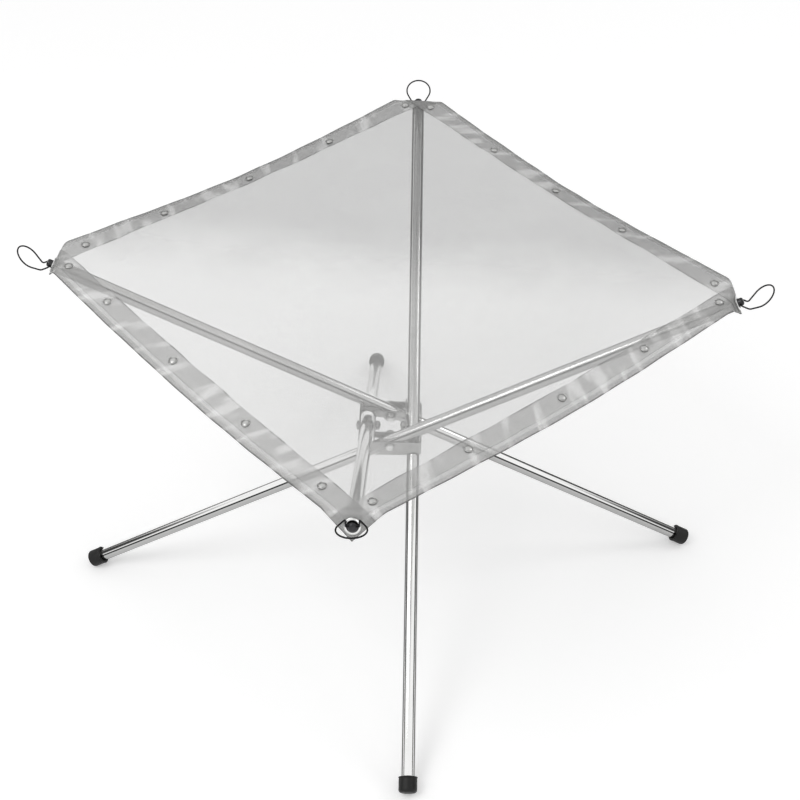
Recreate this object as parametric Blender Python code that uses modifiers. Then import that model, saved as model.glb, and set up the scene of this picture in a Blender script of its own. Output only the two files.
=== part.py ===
"""Folding mesh fire pit: a square steel gauze held up by four crossed tubes.

Each tube is pinned at its middle in a square hub, so that the four fold together
like scissors. A spring clip on each tube's tip keeps a corner eyelet of the gauze in place.
Units are metres and degrees, +Z is up, and the origin is on the ground below the hub.
"""

import math

import bmesh
import bpy
from mathutils import Matrix, Vector

# Driving sizes of the gauze sheet and its hems
SHEET_SIDE = 0.560
SHEET_THICKNESS = 0.0008
SHEET_SAG = 0.006
EDGE_SAG = 0.004
HEM_WIDTH = 0.030
HEM_THICKNESS = 0.0008
HEM_DROOP = 0.008
CORNER_PITCH = 0.005
CORNER_CELLS = 9
MIDDLE_CELLS = 8
BEND_FIRST_CELL = 7
EYELET_FROM_TIP = 0.0155

# Driving sizes of the hem rivets
RIVETS_A_SIDE = 5
RIVET_FROM_CORNER = 0.040
RIVET_FROM_EDGE = 0.019
RIVET_SHANK_RADIUS = 0.0015
RIVET_HEAD_RADIUS = 0.0047
RIVET_HEAD_HEIGHT = 0.0014
RIVET_TAIL_RADIUS = 0.0038
RIVET_TAIL_HEIGHT = 0.0009

# Driving sizes of the corner eyelets
EYELET_BORE_RADIUS = 0.0055
EYELET_WALL = 0.0006
EYELET_FLANGE_RADIUS = 0.0085
EYELET_ROLL_HEIGHT = 0.0018
WASHER_RADIUS = 0.0084
WASHER_THICKNESS = 0.0008

# Driving sizes of the legs
LEG_ANGLE = 29.0
LEG_OFFSET = 0.027
LOWER_REACH = 0.425
TUBE_RADIUS = 0.0075
TUBE_WALL = 0.0012

# Driving sizes of the foot caps
CAP_RADIUS = 0.0103
CAP_LENGTH = 0.0175
CAP_END_THICKNESS = 0.006
CAP_ROUNDING = 0.0035
CAP_LIP_HEIGHT = 0.0008
CAP_WORN_FLAT = 0.0010

# Driving sizes of the tip plugs
PLUG_SPIGOT_LENGTH = 0.020
PLUG_SHOULDER = 0.002
PLUG_NECK_RADIUS = 0.0045
PLUG_REACH = 0.0085
CLIP_HOLE_REACH = 0.0048
CLIP_HOLE_CLEARANCE = 0.0004

# Driving sizes of the spring clips
WIRE_RADIUS = 0.0009
CLIP_FOOT_INSET = 0.0025
CLIP_NECK_HALF_WIDTH = 0.0066
CLIP_NECK_LENGTH = 0.011
CLIP_NECK_ANGLE = -25.0
CLIP_LOOP_LENGTH = 0.034
CLIP_LOOP_RADIUS = 0.0146
CLIP_LOOP_ANGLE = 45.0
CLIP_BEND_RADIUS = 0.0025

# Driving sizes of the hub
HUB_PLATE = 0.0016
HUB_SIDE_PLAY = 0.0005
HUB_BELOW_PIN = 0.013
HUB_ABOVE_PIN = 0.006
HUB_CORNER_RADIUS = 0.005
HUB_TUBE_PLAY = 0.0025
LOBE_RADIUS = 0.009
LOBE_SHOULDER_ANGLE = 20.0
WING_TOP = 0.012
WING_UNDERSIDE = 0.007
PIN_RADIUS = 0.003
PIN_HEAD_RADIUS = 0.0055
PIN_HEAD_HEIGHT = 0.0038
PIN_NUT_HEIGHT = 0.0060

# Clearances between neighbouring pieces
SEAT_GAP = 0.0003
PIN_CLEARANCE = 0.0003
SPIGOT_CLEARANCE = 0.0002

# Facet counts
TUBE_SIDES = 24
ROUND_STEPS = 24
SMALL_STEPS = 12
LOOP_POINTS = 15
MERGE = 0.00001

# Legs by the side that their tips point to, with their turn about the vertical axis
LEGS = (("right", 0.0), ("back", 90.0), ("left", 180.0), ("front", 270.0))
HEMS = (("back_right", 0.0), ("back_left", 90.0), ("front_left", 180.0), ("front_right", 270.0))

# How far each clip hangs from the rest position of the first, and which is fitted the other way up
CLIP_SWINGS = {"right": 0.0, "back": -15.0, "left": 0.0, "front": 59.0}
CLIPS_TURNED_OVER = ("front",)

# The rivets were set by hand, so each is a little off the regular pitch
RIVET_SHIFTS = {
    "back_right": (0.003, 0.001, -0.012, -0.024, -0.005),
    "back_left": (0.015, 0.0, 0.0, 0.0, 0.0),
    "front_left": (0.026, 0.029, 0.036, 0.040, -0.002),
    "front_right": (0.000, -0.006, -0.008, -0.002, -0.002),
}

# Sizes that follow from the driving ones
LEG_TILT = math.radians(LEG_ANGLE)
HALF_SIDE = SHEET_SIDE / 2
HALF_DIAGONAL = HALF_SIDE * math.sqrt(2)
BEND_ANGLE = math.pi / 2 - LEG_TILT
BEND_START = CORNER_CELLS * CORNER_PITCH / math.sqrt(2)
BEND_END = BEND_FIRST_CELL * CORNER_PITCH / math.sqrt(2)
BEND_RADIUS = (BEND_START - BEND_END) / BEND_ANGLE
HEM_LIFT = SEAT_GAP
STACK_ABOVE = HEM_LIFT + HEM_THICKNESS
STACK_BELOW = SHEET_THICKNESS
EYELET_BARREL_RADIUS = EYELET_BORE_RADIUS + EYELET_WALL
EYELET_HOLE_RADIUS = EYELET_BARREL_RADIUS + SEAT_GAP
RIVET_HOLE_RADIUS = RIVET_SHANK_RADIUS + SEAT_GAP
RIVET_PITCH = (SHEET_SIDE - 2 * RIVET_FROM_CORNER) / (RIVETS_A_SIDE - 1)
INNER_FACE = TUBE_RADIUS + HUB_SIDE_PLAY
HUB_OUTSIDE = LEG_OFFSET + INNER_FACE + HUB_PLATE
CORE_PLANE = LEG_OFFSET - INNER_FACE - HUB_PLATE / 2
PIN_HOLE_RADIUS = PIN_RADIUS + PIN_CLEARANCE


def tab_drop(from_tip):
    """Outward travel and fall, from where the bend starts, of a point of the corner tab."""
    if from_tip >= BEND_START:
        return BEND_START - from_tip, 0.0, 0.0
    if from_tip >= BEND_END:
        turned = (BEND_START - from_tip) / BEND_RADIUS
        return BEND_RADIUS * math.sin(turned), BEND_RADIUS * (1 - math.cos(turned)), turned
    straight = BEND_END - from_tip
    out = BEND_RADIUS * math.sin(BEND_ANGLE) + straight * math.cos(BEND_ANGLE)
    fall = BEND_RADIUS * (1 - math.cos(BEND_ANGLE)) + straight * math.sin(BEND_ANGLE)
    return out, fall, BEND_ANGLE


# The eyelets stand square to the tubes, which sets the tubes' upper ends and the sheet's height
EYELET_OUT, EYELET_FALL, EYELET_TURN = tab_drop(EYELET_FROM_TIP)
EYELET_RADIUS = HALF_DIAGONAL - BEND_START + EYELET_OUT
TIP_REACH_FLAT = math.sqrt(EYELET_RADIUS ** 2 - LEG_OFFSET ** 2)
SHEET_TURN = math.asin(LEG_OFFSET / EYELET_RADIUS)
UPPER_REACH = TIP_REACH_FLAT / math.cos(LEG_TILT)
SHOULDER_GAP = SEAT_GAP + TUBE_RADIUS * math.sin(SHEET_TURN)
SHOULDER_FACE = UPPER_REACH - STACK_BELOW - SEAT_GAP - WASHER_THICKNESS - SHOULDER_GAP
TUBE_TOP = SHOULDER_FACE - PLUG_SHOULDER - SEAT_GAP
TUBE_BOTTOM = -LOWER_REACH + CAP_END_THICKNESS + SEAT_GAP
CAP_LOWEST = (
    (LOWER_REACH - CAP_ROUNDING) * math.sin(LEG_TILT)
    + (CAP_RADIUS - CAP_ROUNDING) * math.cos(LEG_TILT)
    + CAP_ROUNDING
)
PIN_HEIGHT = CAP_LOWEST - CAP_WORN_FLAT
EYELET_HEIGHT = PIN_HEIGHT + TIP_REACH_FLAT * math.tan(LEG_TILT)
SHEET_HEIGHT = EYELET_HEIGHT + EYELET_FALL


def clear_scene():
    """Take away whatever the open file holds."""
    for scene_object in list(bpy.data.objects):
        bpy.data.objects.remove(scene_object, do_unlink=True)


def new_collection(name):
    collection = bpy.data.collections.new(name)
    bpy.context.scene.collection.children.link(collection)
    return collection


def new_material(name, colour, roughness, metallic):
    material = bpy.data.materials.new(name)
    material.use_nodes = True
    shader = material.node_tree.nodes["Principled BSDF"]
    shader.inputs["Base Color"].default_value = (*colour, 1.0)
    shader.inputs["Roughness"].default_value = roughness
    shader.inputs["Metallic"].default_value = metallic
    return material


clear_scene()
PARTS = new_collection("fire_pit")
CUTTERS = new_collection("fire_pit_cutters")


def add_object(name, data, placement, material, parent=None, collection=PARTS):
    """Put mesh or curve data in the scene at a placement given in its parent's frame."""
    new = bpy.data.objects.new(name, data)
    collection.objects.link(new)
    if parent is not None:
        new.parent = parent
    new.matrix_local = placement
    if material is not None:
        data.materials.append(material)
    return new


def add_cutter(name, data, placement, parent=None):
    cutter = add_object(name, data, placement, None, parent, CUTTERS)
    cutter.hide_render = True
    cutter.display_type = "WIRE"
    return cutter


def cut(target, cutter, operation="DIFFERENCE"):
    step = target.modifiers.new(cutter.name, "BOOLEAN")
    step.operation = operation
    step.solver = "EXACT"
    step.object = cutter


def shade_round(mesh, angle=40.0):
    mesh.shade_smooth()
    mesh.set_sharp_from_angle(angle=math.radians(angle))


def cylinder_mesh(name, radius, low, high, sides=TUBE_SIDES, capped=True):
    """A round bar along local Z from low to high."""
    shape = bmesh.new()
    middle = Matrix.Translation((0, 0, (low + high) / 2))
    bmesh.ops.create_cone(
        shape, cap_ends=capped, segments=sides, radius1=radius, radius2=radius,
        depth=high - low, matrix=middle,
    )
    mesh = bpy.data.meshes.new(name)
    shape.to_mesh(mesh)
    shape.free()
    shade_round(mesh)
    return mesh


def bars_mesh(name, radius, low, high, places, sides=SMALL_STEPS):
    """Several round bars in one mesh, each along Z of its place: a cutter for a row of holes."""
    shape = bmesh.new()
    middle = Matrix.Translation((0, 0, (low + high) / 2))
    for place in places:
        bmesh.ops.create_cone(
            shape, cap_ends=True, segments=sides, radius1=radius, radius2=radius,
            depth=high - low, matrix=place @ middle,
        )
    mesh = bpy.data.meshes.new(name)
    shape.to_mesh(mesh)
    shape.free()
    return mesh


def turned_object(name, profile, placement, material, parent=None, steps=ROUND_STEPS, closed=False):
    """Turn a profile of (radius, height) points, listed down its outer side, about local Z."""
    mesh = bpy.data.meshes.new(name)
    points = [(radius, 0.0, height) for radius, height in profile]
    edges = [(i, i + 1) for i in range(len(points) - 1)]
    if closed:
        edges.append((len(points) - 1, 0))
    mesh.from_pydata(points, edges, [])
    new = add_object(name, mesh, placement, material, parent)
    screw = new.modifiers.new("turn", "SCREW")
    screw.axis = "Z"
    screw.steps = steps
    screw.render_steps = steps
    screw.use_merge_vertices = True
    screw.merge_threshold = MERGE
    screw.use_smooth_shade = True
    return new


def arc(centre, radius, start, end, count):
    """Points on an arc from one angle to another, in degrees."""
    points = []
    for i in range(count + 1):
        turned = math.radians(start + (end - start) * i / count)
        points.append((centre[0] + radius * math.cos(turned), centre[1] + radius * math.sin(turned)))
    return points


# Materials
STEEL = new_material("bright_steel", (0.74, 0.74, 0.73), 0.22, 1.0)
HUB_STEEL = new_material("hub_steel", (0.60, 0.60, 0.59), 0.34, 1.0)
GAUZE = new_material("steel_gauze", (0.80, 0.80, 0.79), 0.45, 0.8)
HEM_STEEL = new_material("hem_gauze", (0.66, 0.66, 0.65), 0.45, 0.8)
EYELET_STEEL = new_material("eyelet_steel", (0.85, 0.85, 0.84), 0.15, 1.0)
RUBBER = new_material("black_rubber", (0.030, 0.030, 0.032), 0.60, 0.0)
WIRE_STEEL = new_material("spring_wire", (0.25, 0.25, 0.26), 0.20, 1.0)
PLUG_STEEL = new_material("plug_steel", (0.35, 0.35, 0.36), 0.30, 1.0)

# Directions that turn a shape built along local Z
ALONG_X = Matrix.Rotation(math.pi / 2, 4, "Y")
ALONG_Y = Matrix.Rotation(-math.pi / 2, 4, "X")


def leg_frame(turn):
    """Frame with its origin on the leg's pin, X up the tube and Y along the pin."""
    turned = Matrix.Rotation(math.radians(turn), 4, "Z")
    pin = Matrix.Translation((0.0, -LEG_OFFSET, PIN_HEIGHT))
    tilt = Matrix.Rotation(-LEG_TILT, 4, "Y")
    return turned @ pin @ tilt


def clip_frame(side, turn):
    """Frame with its origin on the clip's cross hole, Y along the hole and X to where it hangs."""
    along = Matrix.Translation((UPPER_REACH + CLIP_HOLE_REACH, 0.0, 0.0))
    swung = Matrix.Rotation(LEG_TILT - math.radians(CLIP_SWINGS[side]), 4, "Y")
    turned_over = Matrix.Rotation(math.pi if side in CLIPS_TURNED_OVER else 0.0, 4, "X")
    return leg_frame(turn) @ along @ swung @ turned_over


def add_pivot(name, placement):
    pivot = add_object(name, None, placement, None)
    pivot.empty_display_size = 0.02
    return pivot


def sag_at(u, v):
    """How far the sheet hangs at a place on it: most in the middle, and again along the hems."""
    along = math.cos(math.pi * u / SHEET_SIDE)
    across = math.cos(math.pi * v / SHEET_SIDE)
    edges = along ** 2 + across ** 2 - along ** 2 * across ** 2
    sag = EDGE_SAG * edges + SHEET_SAG * along * across
    into_hem = (max(abs(u), abs(v)) - (HALF_SIDE - HEM_WIDTH)) / HEM_WIDTH
    from_middle = min(abs(u), abs(v)) / (HALF_SIDE - CORNER_CELLS * CORNER_PITCH)
    if into_hem > 0 and from_middle < 1:
        sag += HEM_DROOP * into_hem * (1 - from_middle ** 2)
    return sag


def sheet_place(u, v):
    """Where a point of the cut sheet lies, from its place on the flat sheet.

    u and v run along two sides from the middle. The sheet sags, its hems droop, and beyond the
    bend line each corner turns down until it is square to the tube that carries it.
    """
    corner = Vector((math.copysign(1.0, u), math.copysign(1.0, v), 0.0)).normalized()
    flat = Vector((u, v, 0.0))
    from_tip = HALF_DIAGONAL - flat.dot(corner)
    place = flat - Vector((0.0, 0.0, sag_at(u, v)))
    if from_tip < BEND_START:
        out, fall, turned = tab_drop(from_tip)
        place += corner * (out - (BEND_START - from_tip)) - Vector((0.0, 0.0, fall))
    return place


def sheet_point(u, v):
    """Place and surface normal of a point of the sheet."""
    step = CORNER_PITCH / 4
    along = sheet_place(u + step, v) - sheet_place(u - step, v)
    across = sheet_place(u, v + step) - sheet_place(u, v - step)
    return sheet_place(u, v), along.cross(across).normalized()


def grid_lines():
    """Distances of the sheet's grid lines from its middle: close at the corners, wide between."""
    corner = [HALF_SIDE - i * CORNER_PITCH for i in range(CORNER_CELLS + 1)]
    inner = HALF_SIDE - CORNER_CELLS * CORNER_PITCH
    middle = [-inner + 2 * inner * i / MIDDLE_CELLS for i in range(1, MIDDLE_CELLS)]
    return [-line for line in corner] + middle + corner[::-1]


def bent_grid(name, us, vs, lift):
    """A grid of the flat sheet laid onto its bent shape, each cell split along the bend lines."""
    shape = bmesh.new()
    bmesh.ops.create_grid(shape, x_segments=len(us) - 1, y_segments=len(vs) - 1, size=0.5)
    shape.verts.ensure_lookup_table()
    cells = {}
    for vert in shape.verts:
        i = round((vert.co.x + 0.5) * (len(us) - 1))
        j = round((vert.co.y + 0.5) * (len(vs) - 1))
        place, normal = sheet_point(us[i], vs[j])
        vert.co = place + normal * lift
        cells[(i, j)] = vert
    for i in range(len(us) - 1):
        for j in range(len(vs) - 1):
            same_sign = (us[i] + us[i + 1]) * (vs[j] + vs[j + 1]) > 0
            first = cells[(i + 1, j)] if same_sign else cells[(i, j)]
            second = cells[(i, j + 1)] if same_sign else cells[(i + 1, j + 1)]
            bmesh.ops.connect_verts(shape, verts=[first, second])
    mesh = bpy.data.meshes.new(name)
    shape.to_mesh(mesh)
    shape.free()
    shade_round(mesh, 60.0)
    return mesh


# The sheet's frame: its diagonals point to the tube tips
SHEET_FRAME = (
    Matrix.Translation((0.0, 0.0, SHEET_HEIGHT))
    @ Matrix.Rotation(math.radians(-45.0) - SHEET_TURN, 4, "Z")
)


def surface_frame(u, v):
    """Frame on the sheet's upper face, with Z along the surface normal."""
    place, normal = sheet_point(u, v)
    return Matrix.Translation(place) @ normal.to_track_quat("Z", "Y").to_matrix().to_4x4()


def eyelet_spot():
    """Frame of the eyelet in the corner that the first side runs to."""
    flat = HALF_SIDE - EYELET_FROM_TIP / math.sqrt(2)
    return surface_frame(flat, flat)


def rivet_spots(side):
    """Frames of the rivets along one side, given in that side's own frame."""
    middle = (RIVETS_A_SIDE - 1) / 2
    line = HALF_SIDE - RIVET_FROM_EDGE
    spots = []
    for i in range(RIVETS_A_SIDE):
        spots.append(surface_frame((i - middle) * RIVET_PITCH + RIVET_SHIFTS[side][i], line))
    return spots


def quarter(turn):
    return Matrix.Rotation(math.radians(turn), 4, "Z")


def add_hole_cutter(name, radius, places):
    reach = STACK_ABOVE + STACK_BELOW
    mesh = bars_mesh(name, radius, -reach * 2, reach * 2, places)
    return add_cutter(name, mesh, SHEET_FRAME)


def add_sheet(eyelet_holes, rivet_holes):
    lines = grid_lines()
    mesh = bent_grid("mesh_sheet", lines, lines, 0.0)
    sheet = add_object("mesh_sheet", mesh, SHEET_FRAME, GAUZE)
    wall = sheet.modifiers.new("wall", "SOLIDIFY")
    wall.thickness = SHEET_THICKNESS
    wall.offset = -1.0
    cut(sheet, eyelet_holes)
    cut(sheet, rivet_holes)


def add_hem(side, turn, eyelet_holes, rivet_holes):
    """A band folded over one edge; one end fills the corner, the other butts on the next band."""
    lines = grid_lines()
    butt = -HALF_SIDE + HEM_WIDTH + SEAT_GAP
    us = [butt] + [line for line in lines if line > butt + CORNER_PITCH / 2]
    cells = round(HEM_WIDTH / CORNER_PITCH)
    vs = [HALF_SIDE - HEM_WIDTH * (1 - j / cells) for j in range(cells + 1)]
    name = "hem_" + side
    mesh = bent_grid(name, us, vs, HEM_LIFT)
    hem = add_object(name, mesh, SHEET_FRAME @ quarter(turn), HEM_STEEL)
    wall = hem.modifiers.new("wall", "SOLIDIFY")
    wall.thickness = HEM_THICKNESS
    wall.offset = 1.0
    cut(hem, eyelet_holes)
    cut(hem, rivet_holes)


def rivet_profile():
    top = STACK_ABOVE + SEAT_GAP
    low = -STACK_BELOW - SEAT_GAP
    crown = RIVET_HEAD_RADIUS * 0.6
    return [
        (0.0, top + RIVET_HEAD_HEIGHT),
        (crown, top + RIVET_HEAD_HEIGHT * 0.86),
        (RIVET_HEAD_RADIUS, top + RIVET_HEAD_HEIGHT * 0.3),
        (RIVET_HEAD_RADIUS, top),
        (RIVET_SHANK_RADIUS, top),
        (RIVET_SHANK_RADIUS, low),
        (RIVET_TAIL_RADIUS, low),
        (RIVET_TAIL_RADIUS * 0.8, low - RIVET_TAIL_HEIGHT),
        (0.0, low - RIVET_TAIL_HEIGHT),
    ]


def add_rivets(side, turn):
    for number, spot in enumerate(rivet_spots(side), 1):
        name = "rivet_%s_%d" % (side, number)
        placement = SHEET_FRAME @ quarter(turn) @ spot
        turned_object(name, rivet_profile(), placement, EYELET_STEEL, steps=SMALL_STEPS)


def add_eyelet(side, turn):
    """A rolled flange and barrel on top of the tab, and a washer under it."""
    placement = SHEET_FRAME @ quarter(turn) @ eyelet_spot()
    top = STACK_ABOVE + SEAT_GAP
    low = -STACK_BELOW - SEAT_GAP - WASHER_THICKNESS
    roll = EYELET_ROLL_HEIGHT
    wide = EYELET_FLANGE_RADIUS
    middle = (EYELET_BORE_RADIUS + wide) / 2
    profile = [
        (middle, top + roll),
        (wide - roll * 0.3, top + roll * 0.75),
        (wide, top + roll * 0.3),
        (wide, top),
        (EYELET_BARREL_RADIUS, top),
        (EYELET_BARREL_RADIUS, low),
        (EYELET_BORE_RADIUS, low),
        (EYELET_BORE_RADIUS, top + roll * 0.6),
        (EYELET_BORE_RADIUS + EYELET_WALL, top + roll * 0.95),
    ]
    name = "corner_eyelet_" + side
    turned_object(name, profile, placement, EYELET_STEEL, closed=True)
    inner = EYELET_BARREL_RADIUS + SEAT_GAP
    face = -STACK_BELOW - SEAT_GAP
    ring = [
        (WASHER_RADIUS, face),
        (WASHER_RADIUS, face - WASHER_THICKNESS),
        (inner, face - WASHER_THICKNESS),
        (inner, face),
    ]
    turned_object("eyelet_washer_" + side, ring, placement, EYELET_STEEL, closed=True)


def hub_outline(half, radius, sides=4):
    """A square with round corners, listed anticlockwise."""
    points = []
    inset = half - radius
    for quarter_turn, (x, y) in enumerate(((1, 1), (-1, 1), (-1, -1), (1, -1))):
        start = 90.0 * quarter_turn
        points += arc((x * inset, y * inset), radius, start, start + 90.0, sides)
    return points


def add_hub_frame(leg_play, pin_holes):
    """The outer band of the hub, bent from one strip and notched where the tubes pass under."""
    outline = hub_outline(HUB_OUTSIDE, HUB_CORNER_RADIUS)
    low = PIN_HEIGHT - HUB_BELOW_PIN
    high = PIN_HEIGHT + HUB_ABOVE_PIN
    shape = bmesh.new()
    ring = [shape.verts.new((x, y, low)) for x, y in outline]
    edges = [shape.edges.new((ring[i - 1], ring[i])) for i in range(len(ring))]
    raised = bmesh.ops.extrude_edge_only(shape, edges=edges)["geom"]
    for item in raised:
        if isinstance(item, bmesh.types.BMVert):
            item.co.z = high
    bmesh.ops.recalc_face_normals(shape, faces=shape.faces)
    if shape.faces[0].normal.dot(shape.faces[0].calc_center_median() - Vector((0, 0, PIN_HEIGHT))) < 0:
        bmesh.ops.reverse_faces(shape, faces=shape.faces)
    mesh = bpy.data.meshes.new("hub_outer_frame")
    shape.to_mesh(mesh)
    shape.free()
    frame = add_object("hub_outer_frame", mesh, Matrix.Identity(4), HUB_STEEL)
    wall = frame.modifiers.new("wall", "SOLIDIFY")
    wall.thickness = HUB_PLATE
    wall.offset = -1.0
    wall.use_even_offset = True
    for cutter in leg_play + pin_holes:
        cut(frame, cutter)


def core_outline():
    """One plate of the hub's core, seen square on: x along the plate, y up from the pin.

    A round lobe hangs about the pin. Towards the outer frame the plate rises into a wing that
    arches over the next tube.
    """
    foot = -CORE_PLANE
    joint = CORE_PLANE + HUB_PLATE / 2
    reach = HUB_OUTSIDE - HUB_PLATE - SEAT_GAP
    shoulder = -LOBE_RADIUS * math.sin(math.radians(LOBE_SHOULDER_ANGLE))
    points = [(foot, HUB_ABOVE_PIN), (foot, shoulder + HUB_PLATE / 2)]
    points += arc((0.0, 0.0), LOBE_RADIUS, 180.0 + LOBE_SHOULDER_ANGLE, 360.0 - LOBE_SHOULDER_ANGLE, 8)
    brow = shoulder * 0.5
    past = joint + HUB_PLATE / 2
    points += [(past, brow)]
    arch = WING_UNDERSIDE - brow
    points += arc((past + arch, brow), arch, 165.0, 90.0, 4)
    points += [(reach, WING_UNDERSIDE), (reach, WING_TOP), (past, WING_TOP)]
    points += [(joint - HUB_PLATE * 3, WING_TOP - HUB_PLATE / 2)]
    points += [(joint - HUB_PLATE * 5, HUB_ABOVE_PIN + HUB_PLATE / 2), (joint - HUB_PLATE * 7, HUB_ABOVE_PIN)]
    return points


def plate_mesh(name, outline, thickness):
    """A flat plate with the given outline, standing in the local XZ plane."""
    curve = bpy.data.curves.new(name, "CURVE")
    curve.dimensions = "2D"
    curve.fill_mode = "BOTH"
    curve.extrude = thickness / 2
    line = curve.splines.new("POLY")
    line.points.add(len(outline) - 1)
    for point, (x, y) in zip(line.points, outline):
        point.co = (x, y, 0.0, 1.0)
    line.use_cyclic_u = True
    flat = bpy.data.objects.new(name, curve)
    PARTS.objects.link(flat)
    bpy.context.view_layer.update()
    seen = flat.evaluated_get(bpy.context.evaluated_depsgraph_get())
    mesh = bpy.data.meshes.new_from_object(seen)
    bpy.data.objects.remove(flat, do_unlink=True)
    bpy.data.curves.remove(curve)
    shape = bmesh.new()
    shape.from_mesh(mesh)
    bmesh.ops.remove_doubles(shape, verts=shape.verts, dist=MERGE)
    bmesh.ops.rotate(shape, verts=shape.verts, matrix=Matrix.Rotation(math.pi / 2, 3, "X"))
    shape.to_mesh(mesh)
    shape.free()
    mesh.name = name
    return mesh


def add_hub_core(pin_holes):
    """Four plates set like a pinwheel and joined where they meet."""
    placements = []
    for side, turn in LEGS:
        stand = Matrix.Translation((0.0, -CORE_PLANE, PIN_HEIGHT))
        placements.append(quarter(turn) @ stand)
    mesh = plate_mesh("hub_inner_frame", core_outline(), HUB_PLATE)
    core = add_object("hub_inner_frame", mesh, placements[0], HUB_STEEL)
    for (side, turn), placement in list(zip(LEGS, placements))[1:]:
        arm_mesh = plate_mesh("core_plate_" + side, core_outline(), HUB_PLATE)
        arm = add_cutter("core_plate_" + side, arm_mesh, placement)
        cut(core, arm, "UNION")
    for cutter in pin_holes:
        cut(core, cutter)


def add_leg_pin(side, turn):
    """A pivot pin through the outer frame, the tube and the core, with a domed head and nut."""
    pin_frame = quarter(turn) @ Matrix.Translation((0.0, -LEG_OFFSET, PIN_HEIGHT)) @ ALONG_Y
    nut_face = INNER_FACE + HUB_PLATE + SEAT_GAP
    head_face = -nut_face
    head = PIN_HEAD_RADIUS
    tall = PIN_NUT_HEIGHT
    low = PIN_HEAD_HEIGHT
    profile = [
        (0.0, nut_face + tall),
        (head * 0.5, nut_face + tall * 0.93),
        (head * 0.85, nut_face + tall * 0.68),
        (head, nut_face + tall * 0.35),
        (head, nut_face),
        (PIN_RADIUS, nut_face),
        (PIN_RADIUS, head_face),
        (head, head_face),
        (head * 0.9, head_face - low * 0.55),
        (head * 0.5, head_face - low * 0.93),
        (0.0, head_face - low),
    ]
    turned_object("leg_pin_" + side, profile, pin_frame, STEEL, steps=16)


def add_tube(side, pivot, pin_hole):
    mesh = cylinder_mesh("leg_tube_" + side, TUBE_RADIUS, TUBE_BOTTOM, TUBE_TOP, capped=False)
    tube = add_object("leg_tube_" + side, mesh, ALONG_X, STEEL, pivot)
    wall = tube.modifiers.new("wall", "SOLIDIFY")
    wall.thickness = TUBE_WALL
    wall.offset = -1.0
    cut(tube, pin_hole)


def add_foot_cap(side, pivot, ground):
    """A rubber cap with a round nose and a lip, worn flat where it meets the ground."""
    bore = TUBE_RADIUS + SEAT_GAP
    nose = -LOWER_REACH
    mouth = nose + CAP_LENGTH
    floor = nose + CAP_END_THICKNESS
    lip = CAP_RADIUS + CAP_LIP_HEIGHT / 2
    profile = [
        (0.0, floor),
        (bore, floor),
        (bore, mouth),
        (lip, mouth),
        (lip, mouth - CAP_LIP_HEIGHT * 2),
        (CAP_RADIUS, mouth - CAP_LIP_HEIGHT * 3),
    ]
    centre = (CAP_RADIUS - CAP_ROUNDING, nose + CAP_ROUNDING)
    profile += arc(centre, CAP_ROUNDING, 0.0, -90.0, 4)
    profile += [(0.0, nose)]
    cap = turned_object("foot_cap_" + side, profile, ALONG_X, RUBBER, pivot)
    cut(cap, ground)


def add_tip_plug(side, pivot, cross_hole):
    """A spigot in the tube's end, a shoulder on it and a neck that passes the eyelet."""
    spigot = TUBE_RADIUS - TUBE_WALL - SPIGOT_CLEARANCE
    end = UPPER_REACH + PLUG_REACH
    dome = PLUG_NECK_RADIUS
    profile = [
        (0.0, end),
        (dome * 0.6, end - dome * 0.15),
        (dome, end - dome * 0.55),
        (dome, SHOULDER_FACE),
        (TUBE_RADIUS, SHOULDER_FACE),
        (TUBE_RADIUS, SHOULDER_FACE - PLUG_SHOULDER),
        (spigot, SHOULDER_FACE - PLUG_SHOULDER),
        (spigot, TUBE_TOP - PLUG_SPIGOT_LENGTH),
        (0.0, TUBE_TOP - PLUG_SPIGOT_LENGTH),
    ]
    plug = turned_object("tip_plug_" + side, profile, ALONG_X, PLUG_STEEL, pivot)
    cut(plug, cross_hole)


def rounded_corner(before, corner, after, radius, count=3):
    """Points that round the corner of a path with an arc-like blend."""
    into = (corner - before).normalized()
    out = (after - corner).normalized()
    start = corner - into * radius
    end = corner + out * radius
    points = []
    for i in range(count + 1):
        t = i / count
        points.append(start * (1 - t) ** 2 + corner * 2 * t * (1 - t) + end * t ** 2)
    return points


def clip_path():
    """Centre line of the clip in its own frame: X outwards, Y along the hole, Z up."""
    neck = math.radians(CLIP_NECK_ANGLE)
    rise = math.radians(CLIP_LOOP_ANGLE)
    kink_x = CLIP_NECK_LENGTH * math.cos(neck)
    kink_z = CLIP_NECK_LENGTH * math.sin(neck)
    centre = CLIP_LOOP_LENGTH - CLIP_LOOP_RADIUS - WIRE_RADIUS

    def on_loop(along, across):
        return Vector((kink_x + along * math.cos(rise), across, kink_z + along * math.sin(rise)))

    half_neck = CLIP_NECK_HALF_WIDTH
    reach = math.hypot(centre, half_neck)
    lean = math.atan2(half_neck, centre)
    meet = math.acos(CLIP_LOOP_RADIUS / reach)
    first = math.pi - lean - meet
    foot = Vector((0.0, CLIP_FOOT_INSET, 0.0))
    elbow = Vector((0.0, half_neck, 0.0))
    kink = Vector((kink_x, half_neck, kink_z))
    round_loop = []
    for i in range(LOOP_POINTS + 1):
        turned = first * (1 - 2 * i / LOOP_POINTS)
        round_loop.append(
            on_loop(centre + CLIP_LOOP_RADIUS * math.cos(turned), CLIP_LOOP_RADIUS * math.sin(turned))
        )
    side = [foot]
    side += rounded_corner(foot, elbow, kink, CLIP_BEND_RADIUS)
    side += rounded_corner(elbow, kink, round_loop[0], CLIP_BEND_RADIUS)
    mirrored = [Vector((p.x, -p.y, p.z)) for p in reversed(side)]
    return side + round_loop + mirrored


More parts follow.
